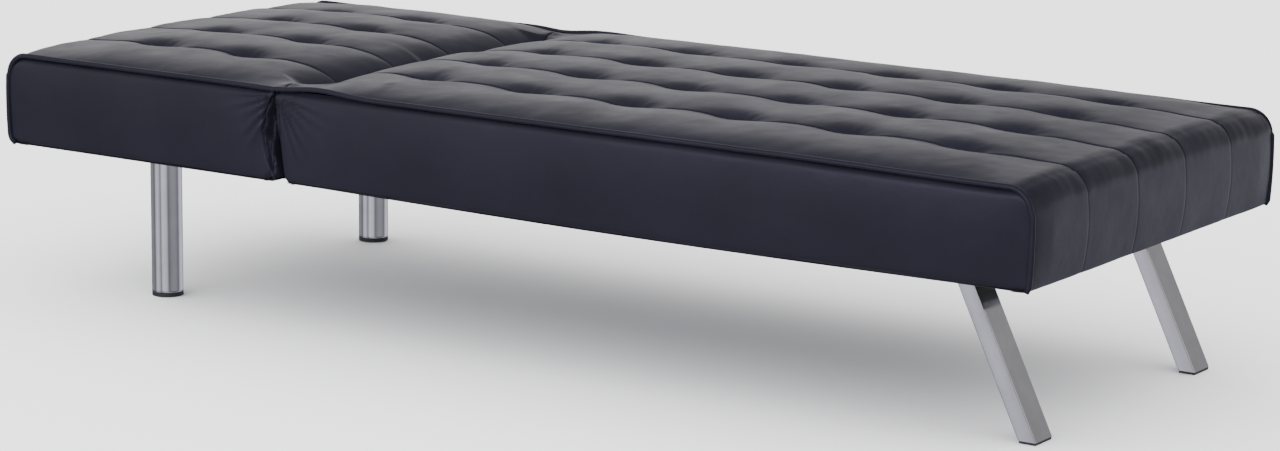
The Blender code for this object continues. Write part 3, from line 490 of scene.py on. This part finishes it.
        # fullest two fifths of the way down, so the upper part faces up a little
        full = np.sin(pi * height ** 1.35) ** 0.7
        inward = np.clip((far - on_flat) / END_ZONE, 0, 1) ** 0.6
        near_hinge = 0.25 + 0.75 * np.clip(on_flat / 0.06, 0, 1) ** 0.6
        out = SIDE_BULGE * full * inward * near_hinge
        out = out - TUCK * np.exp(-(share / 0.045) ** 2)
        out = out - HEM_PULL * np.exp(-(tt / 0.03) ** 2)
        out = out + self.gathers(d, z, share, sign)
        x = HINGE_X + self.direction * d
        out = out + waves(x, 0 * x + sign, z, PANEL_WAVES)
        out = out + waves(x, 0 * x + sign, z, PANEL_RIPPLES)
        # the lip: a rounded corner, then straight in
        turn = np.clip(-dd / LIP_COLUMNS, 0, 1)
        rounding = LIP_RADIUS * np.exp(-on_flat / 0.004) * np.clip(share * 5, 0.2, 1)
        out = out - rounding - (LIP_DEPTH - LIP_RADIUS) * turn * np.clip(share * 4, 0.1, 1)
        return np.stack([x, sign * (PANEL_Y + out), z], axis=-1)

    def gathers(self, d, z, share, sign):
        """Pleats that fan out from the hinge, just under the piping."""
        down = PIPING_Z - 0.010 - z
        r = np.hypot(d, down)
        angle = np.arctan2(d, np.maximum(down, 1e-4))
        shape = 13 * angle + 0.9 * self.direction + 0.4 * sign
        wave = 1 - 2 * np.abs(np.sin(shape)) ** 0.8
        wave = wave + 0.5 * np.cos(2.7 * shape + 1.0)
        reach = SEAT_GATHER_REACH if self.direction > 0 else BACK_GATHER_REACH
        fade = np.exp(-(r / reach) ** 2) * np.clip(r / 0.012, 0, 1)
        below_piping = np.clip(share * 7, 0, 1)
        if self.direction > 0:
            return GATHER_HEIGHT * wave * fade * below_piping
        hollow = np.exp(-(((d - 0.030) / 0.018) ** 2 + ((share - 0.62) / 0.20) ** 2))
        pleats = GATHER_HEIGHT * BACK_GATHER_SHARE * wave * fade
        return (pleats - SLUMP * hollow) * below_piping

    def hem_points(self, sign):
        """Strip of the side panel that is turned under and stapled."""
        d = np.linspace(0.020, self.length - self.end_tuck_radius, 60)
        across = np.linspace(0, 1, 6)
        dd, tt = np.meshgrid(d, across, indexing="ij")
        y = PANEL_Y - HEM_START - HEM_WIDTH * tt
        z = self.bottom_z(dd) * (1 - tt) + (UNDERSIDE_Z - HEM_DROP) * tt
        z = z - 0.0010 * np.sin(pi * tt)
        x = HINGE_X + self.direction * dd
        return np.stack([x, sign * y, z], axis=-1)

    def build(self):
        flip = self.direction < 0
        grids = [(self.cover_points(), not flip)]
        for _, sign in SIDES:
            grids.append((self.side_points(sign), (sign < 0) == flip))
            grids.append((self.hem_points(sign), (sign < 0) == flip))
        made = join_grids(self.name + "_upholstery", grids, self.body)
        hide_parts(self.name + "_cover", self.name + "_foam")
        return made


def seat_and_back():
    seat = Pad("seat", 1, SEAT_LENGTH, SEAT_TUFTS, BASE, FOOT_TUCK)
    back = Pad("back", -1, BACK_LENGTH, BACK_TUFTS, BACKREST, HEAD_TUCK)
    return seat, back


# ---- piping, gussets and linings ----

PIPING_LIFT = 0.0005          # its middle above the cover's edge, and out from the panel
PIPING_STAND = 0.0008
PIPING_SWAY = 0.0005
GUSSET_TOP_GAP = 0.007
GUSSET_BOTTOM_GAP = 0.006
GUSSET_EDGE_GAP = 0.0015
SHELF_START = 0.0035          # gusset's inset at the back's edge, and how much it gains
SHELF_GAIN = 0.006
FOLD_DEPTH = 0.015            # deep fold beside the seat's edge
PLEAT_HEIGHT = 0.0042
CRUMPLE_HEIGHT = 0.0100
CREASE_HEIGHT = 0.0035
SAG_DEPTH = 0.0030            # underlining, away from what holds it
SAG_EDGE = 0.10
SAG_HOLD = 0.05               # the same round an arm or a plate
CLOTH_THICKNESS = 0.0006


def tube_points(path, radius, sides=12):
    """Rings of points round a path, each square to it."""
    path = np.array(path)
    along = np.gradient(path, axis=0)
    along /= np.linalg.norm(along, axis=1)[:, None]
    side = np.tile(np.array([0.0, 1.0, 0.0]), (len(path), 1))
    up = np.cross(along, side)
    up /= np.linalg.norm(up, axis=1)[:, None]
    rings = []
    for step in range(sides):
        angle = 2 * pi * step / sides
        rings.append(path + radius * (cos(angle) * side + sin(angle) * up))
    return np.stack(rings, axis=1)


def piping_path(pad, sign):
    """Piping centre line of one section, from the hinge round the end to the hem."""
    far = pad.length
    radius = END_RADIUS + PIPING_LIFT
    points = []
    for d in np.linspace(0, far - radius, int(far / 0.008), endpoint=False):
        points.append((d, float(pad.edge_z(np.array(d), sign)) + PIPING_LIFT))
    end_z = float(pad.edge_z(np.array(far), sign)) + PIPING_LIFT
    for angle in np.linspace(pi / 2, 0, 14, endpoint=False):
        points.append((far - radius + radius * cos(angle), end_z - radius + radius * sin(angle)))
    for z in np.linspace(end_z - radius, UNDERSIDE_Z + 0.001, 18):
        height = min(1, (z - UNDERSIDE_Z) / (PIPING_Z - UNDERSIDE_Z))
        bulge = CORNER_BULGE_SHARE * END_BULGE * sin(pi * height) ** 0.8
        points.append((far + bulge - float(pad.end_tuck(z)), z))
    path = []
    for d, z in points:
        x = HINGE_X + pad.direction * d
        sway = PIPING_SWAY * rough(x, sign, z, 0.07, 3.3)
        path.append((x, sign * (PANEL_Y + PIPING_STAND + sway), z + sway))
    return path


def build_piping(seat, back, side, sign):
    """One continuous piping over both sections, across the hinge."""
    path = piping_path(back, sign)[::-1][:-1] + piping_path(seat, sign)
    rings = tube_points(path, PIPING_RADIUS * 1.02)
    rows, columns = rings.shape[:2]
    verts = list(rings.reshape(-1, 3))
    faces = grid_faces(rows, columns, closed=True)
    faces.append(list(range(columns))[::-1])
    faces.append(list(range((rows - 1) * columns, rows * columns)))
    made = new_object(f"piping_{side}", verts, faces)
    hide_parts(f"seat_piping_{side}", f"back_piping_{side}")
    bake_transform(made)
    return made


def build_gusset(seat, back, side, sign):
    """Gathered panel between the two side panels: crumpled beside the back's edge,
    and folded deep beside the seat's. Its seam allowances go on inside both pads."""
    rows = 46
    shown = 49
    hidden = 6
    top = PIPING_Z - GUSSET_TOP_GAP
    bottom = UNDERSIDE_Z + GUSSET_BOTTOM_GAP
    points = np.empty((rows, shown + 2 * hidden, 3))
    for i in range(rows):
        share = i / (rows - 1)
        z = top + (bottom - top) * share
        from_back = float(back.hinge_edge(share)) + GUSSET_EDGE_GAP
        from_seat = float(seat.hinge_edge(share)) + GUSSET_EDGE_GAP
        opened = min(1, share * 4)
        for j in range(shown + 2 * hidden):
            before = min(0, j - hidden) / hidden
            after = max(0, j - hidden - shown + 1) / hidden
            t = min(1, max(0, (j - hidden) / (shown - 1)))
            x = -from_back + (from_back + from_seat) * t
            shelf = SHELF_START + SHELF_GAIN * smooth(t / 0.45)
            fold = FOLD_DEPTH * smooth((t - 0.42) / 0.22) * smooth((0.99 - t) / 0.10)
            pleat = PLEAT_HEIGHT * sin(4.2 * pi * t + 7.5 * share) * smooth(t / 0.15)
            crumple = CRUMPLE_HEIGHT * rough(x * 0.7, 0.3 * sign, z, 0.017, 4.4)
            crumple += CREASE_HEIGHT * rough(x, 0.6 * sign, z * 1.4, 0.008, 7.1)
            lively = smooth(t / 0.12) * smooth((0.8 - t) / 0.2) * opened
            inset = shelf + fold * opened + (pleat + crumple) * lively
            inset += 0.004 * (after - before)
            slant = 0.004 * rough(x, sign, z, 0.03, 9.3) * lively
            x += GUSSET_ALLOWANCE * (before + after)
            points[i, j] = (HINGE_X + x, sign * (PANEL_Y - inset), z + slant)
    made = join_grids(f"gusset_{side}", [(points, sign > 0)], None)
    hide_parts(f"hinge_gusset_{side}")
    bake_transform(made)
    return made


def build_crease_lining():
    """Strip that closes the crease between the pads: a slack fold in the hinge gap."""
    half = EYE_LOW[1] - 0.0004
    top = PIPING_Z - ROLL_DROP - 0.004
    gap = HINGE_FACE_TOP + 0.0004
    fold = [(-gap, top), (-gap, top - 0.005), (-gap - 0.0003, top - 0.010),
            (-gap + 0.0002, top - 0.014), (-0.0008, top - 0.0165), (0.0008, top - 0.0165),
            (gap - 0.0002, top - 0.014), (gap + 0.0003, top - 0.010), (gap, top - 0.005),
            (gap, top)]
    ys = np.linspace(-half, half, 90)
    points = np.empty((len(fold), len(ys), 3))
    for i, (x, z) in enumerate(fold):
        for j, y in enumerate(ys):
            points[i, j] = (HINGE_X + x, y, z + 0.0012 * rough(x, y, z, 0.04, 5.7))
    made = join_grids("crease_lining", [(points, False)], None)
    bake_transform(made)
    return made


def build_underlining(pad):
    """Thin cloth stapled under the frame; it sags between what it rests against."""
    low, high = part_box(pad.name + "_dust_cover")
    holds = [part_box(name) for name in ("rear_arm_left", "rear_arm_right",
                                       "foot_leg_plate_left", "foot_leg_plate_right")]
    length = high[0] - low[0]
    xs = np.arange(low[0], high[0] + 0.004, length / round(length / 0.009))
    ys = np.linspace(low[1], high[1], 84)
    points = np.empty((len(xs), len(ys), 3))
    for i, x in enumerate(xs):
        for j, y in enumerate(ys):
            edge = min(x - low[0], high[0] - x, y - low[1], high[1] - y)
            free = smooth(edge / SAG_EDGE)
            for a, b in holds:
                away = max(a[0] - x, x - b[0], a[1] - y, y - b[1])
                free = min(free, smooth((away - 0.004) / SAG_HOLD))
            ripple = 0.0012 * rough(x, y, 0, 0.06, 6.2) + 0.0006 * rough(x, y, 0, 0.02, 1.1)
            tug = 0.0007 * cos(2 * pi * (x + y) / 0.05) * np.exp(-edge / 0.02)
            sag = free * (SAG_DEPTH + ripple) + tug * min(1, free * 5)
            points[i, j] = (x, y, low[2] + 0.0002 - max(sag, 0))
    body = BASE if pad.direction > 0 else BACKREST
    made = join_grids(pad.name + "_underlining", [(points, True)], body)
    wall = made.modifiers.new("cloth thickness", "SOLIDIFY")
    wall.thickness = CLOTH_THICKNESS
    wall.offset = -1
    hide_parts(pad.name + "_dust_cover")
    return made


# ---- legs ----

def build_round_leg(side):
    """Polished tube with a soft rim, in place of its faceted CAD tube."""
    name = f"rear_leg_{side}"
    low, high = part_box(name)
    radius = (high[0] - low[0]) / 2
    middle = ((low[0] + high[0]) / 2, (low[1] + high[1]) / 2)
    arm_low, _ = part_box(f"rear_arm_{side}")
    top = arm_low[2] - 0.0003
    rim = 0.0008
    inside = radius - 0.0015
    profile = [(inside, low[2] + 0.006), (inside, low[2] + rim),
               (radius - rim, low[2]), (radius, low[2] + rim)]
    profile += [(radius, z) for z in np.linspace(low[2] + 0.004, top - 0.004, 12)]
    profile += [(radius, top - rim), (radius - rim, top), (0.001, top)]
    sides = 96
    verts = []
    for r, z in profile:
        for step in range(sides):
            angle = 2 * pi * step / sides
            verts.append((middle[0] + r * cos(angle), middle[1] + r * sin(angle), z))
    made = new_object(f"round_leg_{side}", verts, grid_faces(len(profile), sides, closed=True),
                      BASE)
    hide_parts(name)
    return made


def build_foot_leg(side):
    """Splayed rectangular tube with rounded corners, along its CAD tube."""
    node = frame["nodes"][f"foot_leg_{side}"]
    corners = np.array([node.matrix_world @ v.co for v in node.data.vertices])
    low_z = corners[:, 2].min()
    high_z = corners[:, 2].max()
    bottom = corners[corners[:, 2] < low_z + 0.001]
    top = corners[corners[:, 2] > high_z - 0.001]
    corner_radius = 0.0022
    rings = []
    for t in np.linspace(0, 1, 10):
        low = bottom.min(axis=0) * (1 - t) + top.min(axis=0) * t
        high = bottom.max(axis=0) * (1 - t) + top.max(axis=0) * t
        ring = []
        for cx, cy, first in ((1, 1, 0), (-1, 1, 1), (-1, -1, 2), (1, -1, 3)):
            x = high[0] - corner_radius if cx > 0 else low[0] + corner_radius
            y = high[1] - corner_radius if cy > 0 else low[1] + corner_radius
            for step in range(7):
                angle = (first + step / 6) * pi / 2
                ring.append((x + corner_radius * cos(angle),
                             y + corner_radius * sin(angle), low[2]))
        rings.append(ring)
    shrink = 0.06         # the ring that closes in under the tube's end
    middle = bottom.mean(axis=0)
    inner = [(x * (1 - shrink) + middle[0] * shrink, y * (1 - shrink) + middle[1] * shrink,
              z + 0.001) for x, y, z in rings[0]]
    rings.insert(0, inner)
    columns = len(rings[0])
    verts = [p for ring in rings for p in ring]
    faces = grid_faces(len(rings), columns, closed=True)
    made = new_object(f"splayed_leg_{side}", verts, faces, BASE)
    made.data.set_sharp_from_angle(angle=radians(50))
    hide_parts(f"foot_leg_{side}")
    return made


# ---- materials ----

def new_material(name):
    made = bpy.data.materials.new(name)
    made.use_nodes = True
    shader = made.node_tree.nodes["Principled BSDF"]
    return made, made.node_tree, shader


def add_node(tree, kind, **inputs):
    node = tree.nodes.new(kind)
    for key, value in inputs.items():
        node.inputs[key.replace("_", " ")].default_value = value
    return node


def link(tree, source, target):
    tree.links.new(source, target)


def object_coordinates(tree):
    return tree.nodes.new("ShaderNodeTexCoord").outputs["Object"]


def noise_texture(tree, scale, detail=3.0, roughness=0.5, stretch=None):
    texture = add_node(tree, "ShaderNodeTexNoise", Scale=scale, Detail=detail,
                       Roughness=roughness)
    coordinates = object_coordinates(tree)
    if stretch:
        mapping = tree.nodes.new("ShaderNodeMapping")
        mapping.inputs["Scale"].default_value = stretch
        link(tree, coordinates, mapping.inputs["Vector"])
        coordinates = mapping.outputs["Vector"]
    link(tree, coordinates, texture.inputs["Vector"])
    return texture.outputs["Fac"]


def colour_between(tree, factor, dark, light, low=0.3, high=0.7):
    ramp = tree.nodes.new("ShaderNodeValToRGB")
    ramp.color_ramp.elements[0].position = low
    ramp.color_ramp.elements[1].position = high
    ramp.color_ramp.elements[0].color = (*dark, 1)
    ramp.color_ramp.elements[1].color = (*light, 1)
    link(tree, factor, ramp.inputs["Fac"])
    return ramp.outputs["Color"]


def value_between(tree, factor, low, high):
    span = tree.nodes.new("ShaderNodeMapRange")
    span.inputs["From Min"].default_value = 0.3
    span.inputs["From Max"].default_value = 0.7
    span.inputs["To Min"].default_value = low
    span.inputs["To Max"].default_value = high
    link(tree, factor, span.inputs["Value"])
    return span.outputs["Result"]


def add_bump(tree, shader, height, strength, distance, under=None):
    bump = add_node(tree, "ShaderNodeBump", Strength=strength, Distance=distance)
    link(tree, height, bump.inputs["Height"])
    if under:
        link(tree, under, bump.inputs["Normal"])
    link(tree, bump.outputs["Normal"], shader.inputs["Normal"])
    return bump.outputs["Normal"]


def leather():
    """Smooth navy-black leatherette: fine pebble grain and a satin film."""
    made, tree, shader = new_material("navy leatherette")
    tone = noise_texture(tree, 5, 4)
    colour = colour_between(tree, tone, (0.0058, 0.0055, 0.0090), (0.0079, 0.0075, 0.0124))
    link(tree, colour, shader.inputs["Base Color"])
    sheen_patch = noise_texture(tree, 14, 5, 0.6)
    link(tree, value_between(tree, sheen_patch, 0.29, 0.38), shader.inputs["Roughness"])
    shader.inputs["Specular IOR Level"].default_value = 0.22
    shader.inputs["Specular Tint"].default_value = (0.88, 0.85, 1.0, 1)
    soft = add_bump(tree, shader, noise_texture(tree, 55, 3, 0.5), 0.35, 0.0008)
    grain = tree.nodes.new("ShaderNodeTexVoronoi")
    grain.feature = "SMOOTH_F1"
    grain.inputs["Scale"].default_value = 620
    link(tree, object_coordinates(tree), grain.inputs["Vector"])
    add_bump(tree, shader, grain.outputs["Distance"], 0.22, 0.00035, soft)
    return made


def chrome():
    made, tree, shader = new_material("polished chrome")
    smudge = noise_texture(tree, 26, 4, 0.6)
    colour = colour_between(tree, smudge, (0.60, 0.59, 0.61), (0.68, 0.67, 0.69))
    link(tree, colour, shader.inputs["Base Color"])
    shader.inputs["Metallic"].default_value = 1.0
    link(tree, value_between(tree, smudge, 0.08, 0.12), shader.inputs["Roughness"])
    add_bump(tree, shader, noise_texture(tree, 30, 2), 0.05, 0.0004)
    return made


def black_plastic():
    made, tree, shader = new_material("black moulded plastic")
    tone = noise_texture(tree, 40, 3)
    colour = colour_between(tree, tone, (0.008, 0.008, 0.009), (0.016, 0.016, 0.017))
    link(tree, colour, shader.inputs["Base Color"])
    link(tree, value_between(tree, tone, 0.5, 0.65), shader.inputs["Roughness"])
    add_bump(tree, shader, noise_texture(tree, 900, 2), 0.3, 0.0002)
    return made


def frame_paint():
    made, tree, shader = new_material("black powder coat")
    tone = noise_texture(tree, 20, 4)
    colour = colour_between(tree, tone, (0.013, 0.013, 0.014), (0.024, 0.024, 0.026))
    link(tree, colour, shader.inputs["Base Color"])
    link(tree, value_between(tree, tone, 0.38, 0.5), shader.inputs["Roughness"])
    shader.inputs["Metallic"].default_value = 0.2
    add_bump(tree, shader, noise_texture(tree, 420, 2), 0.25, 0.0002)
    return made


def zinc_steel():
    made, tree, shader = new_material("zinc plated steel")
    brushed = noise_texture(tree, 60, 4, 0.6, stretch=(0.2, 1, 1))
    colour = colour_between(tree, brushed, (0.36, 0.36, 0.37), (0.50, 0.50, 0.50))
    link(tree, colour, shader.inputs["Base Color"])
    shader.inputs["Metallic"].default_value = 0.95
    link(tree, value_between(tree, brushed, 0.3, 0.45), shader.inputs["Roughness"])
    add_bump(tree, shader, brushed, 0.1, 0.0002)
    return made


def foam():
    made, tree, shader = new_material("upholstery foam")
    tone = noise_texture(tree, 30, 5)
    colour = colour_between(tree, tone, (0.62, 0.52, 0.28), (0.74, 0.65, 0.40))
    link(tree, colour, shader.inputs["Base Color"])
    shader.inputs["Roughness"].default_value = 0.95
    add_bump(tree, shader, noise_texture(tree, 700, 3), 0.6, 0.0006)
    return made


def underlining():
    """Black spun-bonded cloth with its grid of small bond points."""
    made, tree, shader = new_material("black underlining")
    tone = noise_texture(tree, 26, 5)
    colour = colour_between(tree, tone, (0.012, 0.012, 0.013), (0.018, 0.018, 0.019))
    link(tree, colour, shader.inputs["Base Color"])
    shader.inputs["Roughness"].default_value = 0.95
    soft = add_bump(tree, shader, noise_texture(tree, 18, 4), 0.22, 0.001)
    dots = tree.nodes.new("ShaderNodeTexVoronoi")
    dots.inputs["Scale"].default_value = 480
    dots.inputs["Randomness"].default_value = 0.25
    link(tree, object_coordinates(tree), dots.inputs["Vector"])
    add_bump(tree, shader, dots.outputs["Distance"], 0.4, 0.0003, soft)
    return made


def paint_floor(floor):
    made, tree, shader = new_material("pale floor")
    tone = noise_texture(tree, 0.8, 2)
    colour = colour_between(tree, tone, (0.86, 0.86, 0.86), (0.88, 0.88, 0.88))
    link(tree, colour, shader.inputs["Base Color"])
    shader.inputs["Roughness"].default_value = 0.9
    floor.data.materials.append(made)


def give_material(made, finish):
    made.data.materials.clear()
    made.data.materials.append(finish)


def finish_cad_nodes():
    """Each CAD node that stays in view gets its slot's full material."""
    finishes = {
        "navy_leatherette": leather(), "chrome": chrome(), "black_plastic": black_plastic(),
        "painted_frame": frame_paint(), "spring_steel": zinc_steel(),
        "cushion_foam": foam(), "black_underlining": underlining(),
    }
    for part in frame["record"]["subparts"]:
        node = frame["nodes"].get(part["node"])
        if node is not None:
            for slot in node.material_slots:
                slot.material = finishes[part["material_slot"]]
    return finishes


# ---- stage, light and camera ----

def add_area(name, place, aim, size, power, colour):
    data = bpy.data.lights.new(name, "AREA")
    data.shape = "RECTANGLE"
    data.size = size[0]
    data.size_y = size[1]
    data.energy = power
    data.color = colour
    lamp = bpy.data.objects.new(name, data)
    lamp.location = place
    lamp.rotation_euler = (Vector(aim) - Vector(place)).to_track_quat("-Z", "Y").to_euler()
    bpy.context.scene.collection.objects.link(lamp)


SKY_BY_HEIGHT = (       # height of the direction, -1 to 1, and its light
    (-1.00, (0.34, 0.34, 0.40)),
    (-0.45, (0.46, 0.46, 0.54)),
    (-0.14, (0.80, 0.80, 0.90)),
    (0.02, (1.00, 1.00, 1.04)),
    (0.32, (1.34, 1.32, 1.32)),
    (0.58, (0.42, 0.42, 0.44)),
    (1.00, (0.32, 0.32, 0.34)),
)
LOW_BY_SIDE = (         # the same along X: light panels with dark ones between
    (-1.00, 0.45), (-0.84, 0.28), (-0.66, 1.00), (-0.50, 1.15), (-0.32, 0.90),
    (-0.12, 0.45), (0.14, 1.25), (0.38, 1.15), (0.56, 1.05), (0.78, 0.32),
    (1.00, 0.50),
)
HIGH_BY_SIDE = (
    (-1.00, 0.80), (-0.74, 0.90), (-0.56, 0.88), (-0.42, 0.66), (-0.30, 0.55),
    (0.00, 0.50), (0.30, 0.32), (0.62, 0.28), (0.80, 0.60), (1.00, 0.60),
)
SKY_STRENGTH = 1.0
SUN_STRENGTH = 9.0
SUN_SPREAD = 140
FLOOR_HALF = 30


def ramp_over(tree, value, stops):
    """Light from stops at places from -1 to 1: each a colour, or one number for grey."""
    span = tree.nodes.new("ShaderNodeMapRange")
    span.inputs["From Min"].default_value = -1
    span.inputs["From Max"].default_value = 1
    link(tree, value, span.inputs["Value"])
    ramp = tree.nodes.new("ShaderNodeValToRGB")
    ramp.color_ramp.interpolation = "EASE"
    while len(ramp.color_ramp.elements) < len(stops):
        ramp.color_ramp.elements.new(0.5)
    for element, (place, colour) in zip(ramp.color_ramp.elements, stops):
        element.position = (place + 1) / 2
        element.color = (*colour, 1) if isinstance(colour, tuple) else (colour,) * 3 + (1,)
    link(tree, span.outputs["Result"], ramp.inputs["Fac"])
    return ramp.outputs["Color"]


def mix_colours(tree, kind, first, second):
    mixed = tree.nodes.new("ShaderNodeMix")
    mixed.data_type = "RGBA"
    mixed.blend_type = kind
    # a colour mix has its colour sockets after the ones for numbers and vectors
    colours = [socket for socket in mixed.inputs if socket.type == "RGBA"]
    link(tree, first, colours[0])
    link(tree, second, colours[1])
    return mixed


def colour_of(mixed):
    return next(socket for socket in mixed.outputs if socket.type == "RGBA")


def build_world():
    """Studio surroundings: bright round the horizon, dimmer above and below."""
    world = bpy.data.worlds.new("studio")
    world.use_nodes = True
    bpy.context.scene.world = world
    tree = world.node_tree
    background = tree.nodes["Background"]
    split = tree.nodes.new("ShaderNodeSeparateXYZ")
    link(tree, tree.nodes.new("ShaderNodeTexCoord").outputs["Generated"],
         split.inputs["Vector"])
    above = tree.nodes.new("ShaderNodeMapRange")
    above.inputs["From Min"].default_value = -0.06
    above.inputs["From Max"].default_value = 0.08
    link(tree, split.outputs["Z"], above.inputs["Value"])
    side = mix_colours(tree, "MIX", ramp_over(tree, split.outputs["X"], LOW_BY_SIDE),
                       ramp_over(tree, split.outputs["X"], HIGH_BY_SIDE))
    link(tree, above.outputs["Result"], side.inputs["Factor"])
    light = mix_colours(tree, "MULTIPLY", colour_of(side),
                        ramp_over(tree, split.outputs["Z"], SKY_BY_HEIGHT))
    light.inputs["Factor"].default_value = 1
    link(tree, colour_of(light), background.inputs["Color"])
    background.inputs["Strength"].default_value = SKY_STRENGTH


def set_stage():
    half = FLOOR_HALF
    corners = [(-half, -half, 0), (half, -half, 0), (half, half, 0), (-half, half, 0)]
    floor = new_object("floor", corners, [(0, 1, 2, 3)], rounded=False)
    floor.location.z = -0.0005
    floor.visible_glossy = False
    paint_floor(floor)
    build_world()
    sun = bpy.data.lights.new("soft overhead", "SUN")
    sun.energy = SUN_STRENGTH
    sun.angle = radians(SUN_SPREAD)
    overhead = bpy.data.objects.new("soft overhead", sun)
    overhead.rotation_euler = (radians(12), radians(-8), 0)
    overhead.visible_glossy = False
    bpy.context.scene.collection.objects.link(overhead)
    add_area("front softbox", place=(0.2, -4.2, 1.55), aim=(0, -0.3, 0.30), size=(4.6, 1.2),
             power=72, colour=(0.72, 0.79, 1.0))


CAMERA_PLACE = (3.109, -4.599, 1.292)
CAMERA_YAW = 33.70
CAMERA_PITCH = 11.59
CAMERA_ROLL = 0.72
CAMERA_LENS = 103.2


def set_camera():
    data = bpy.data.cameras.new("camera")
    data.lens = CAMERA_LENS
    data.sensor_width = 36
    camera = bpy.data.objects.new("camera", data)
    camera.location = CAMERA_PLACE
    level = Euler((radians(90 - CAMERA_PITCH), 0, radians(CAMERA_YAW)), "XYZ").to_matrix()
    roll = Euler((0, 0, radians(CAMERA_ROLL)), "XYZ").to_matrix()
    camera.rotation_euler = (level @ roll).to_euler()
    bpy.context.scene.collection.objects.link(camera)
    bpy.context.scene.camera = camera


# ---- the whole object ----

def build_all():
    finishes = finish_cad_nodes()
    seat, back = seat_and_back()
    for made in (seat.build(), back.build()):
        give_material(made, finishes["navy_leatherette"])
    for pad in (seat, back):
        give_material(build_underlining(pad), finishes["black_underlining"])
    for side, sign in SIDES:
        give_material(build_piping(seat, back, side, sign), finishes["navy_leatherette"])
        give_material(build_gusset(seat, back, side, sign), finishes["navy_leatherette"])
        give_material(build_round_leg(side), finishes["chrome"])
        give_material(build_foot_leg(side), finishes["chrome"])
    give_material(build_crease_lining(), finishes["navy_leatherette"])


build_all()
set_stage()
set_camera()
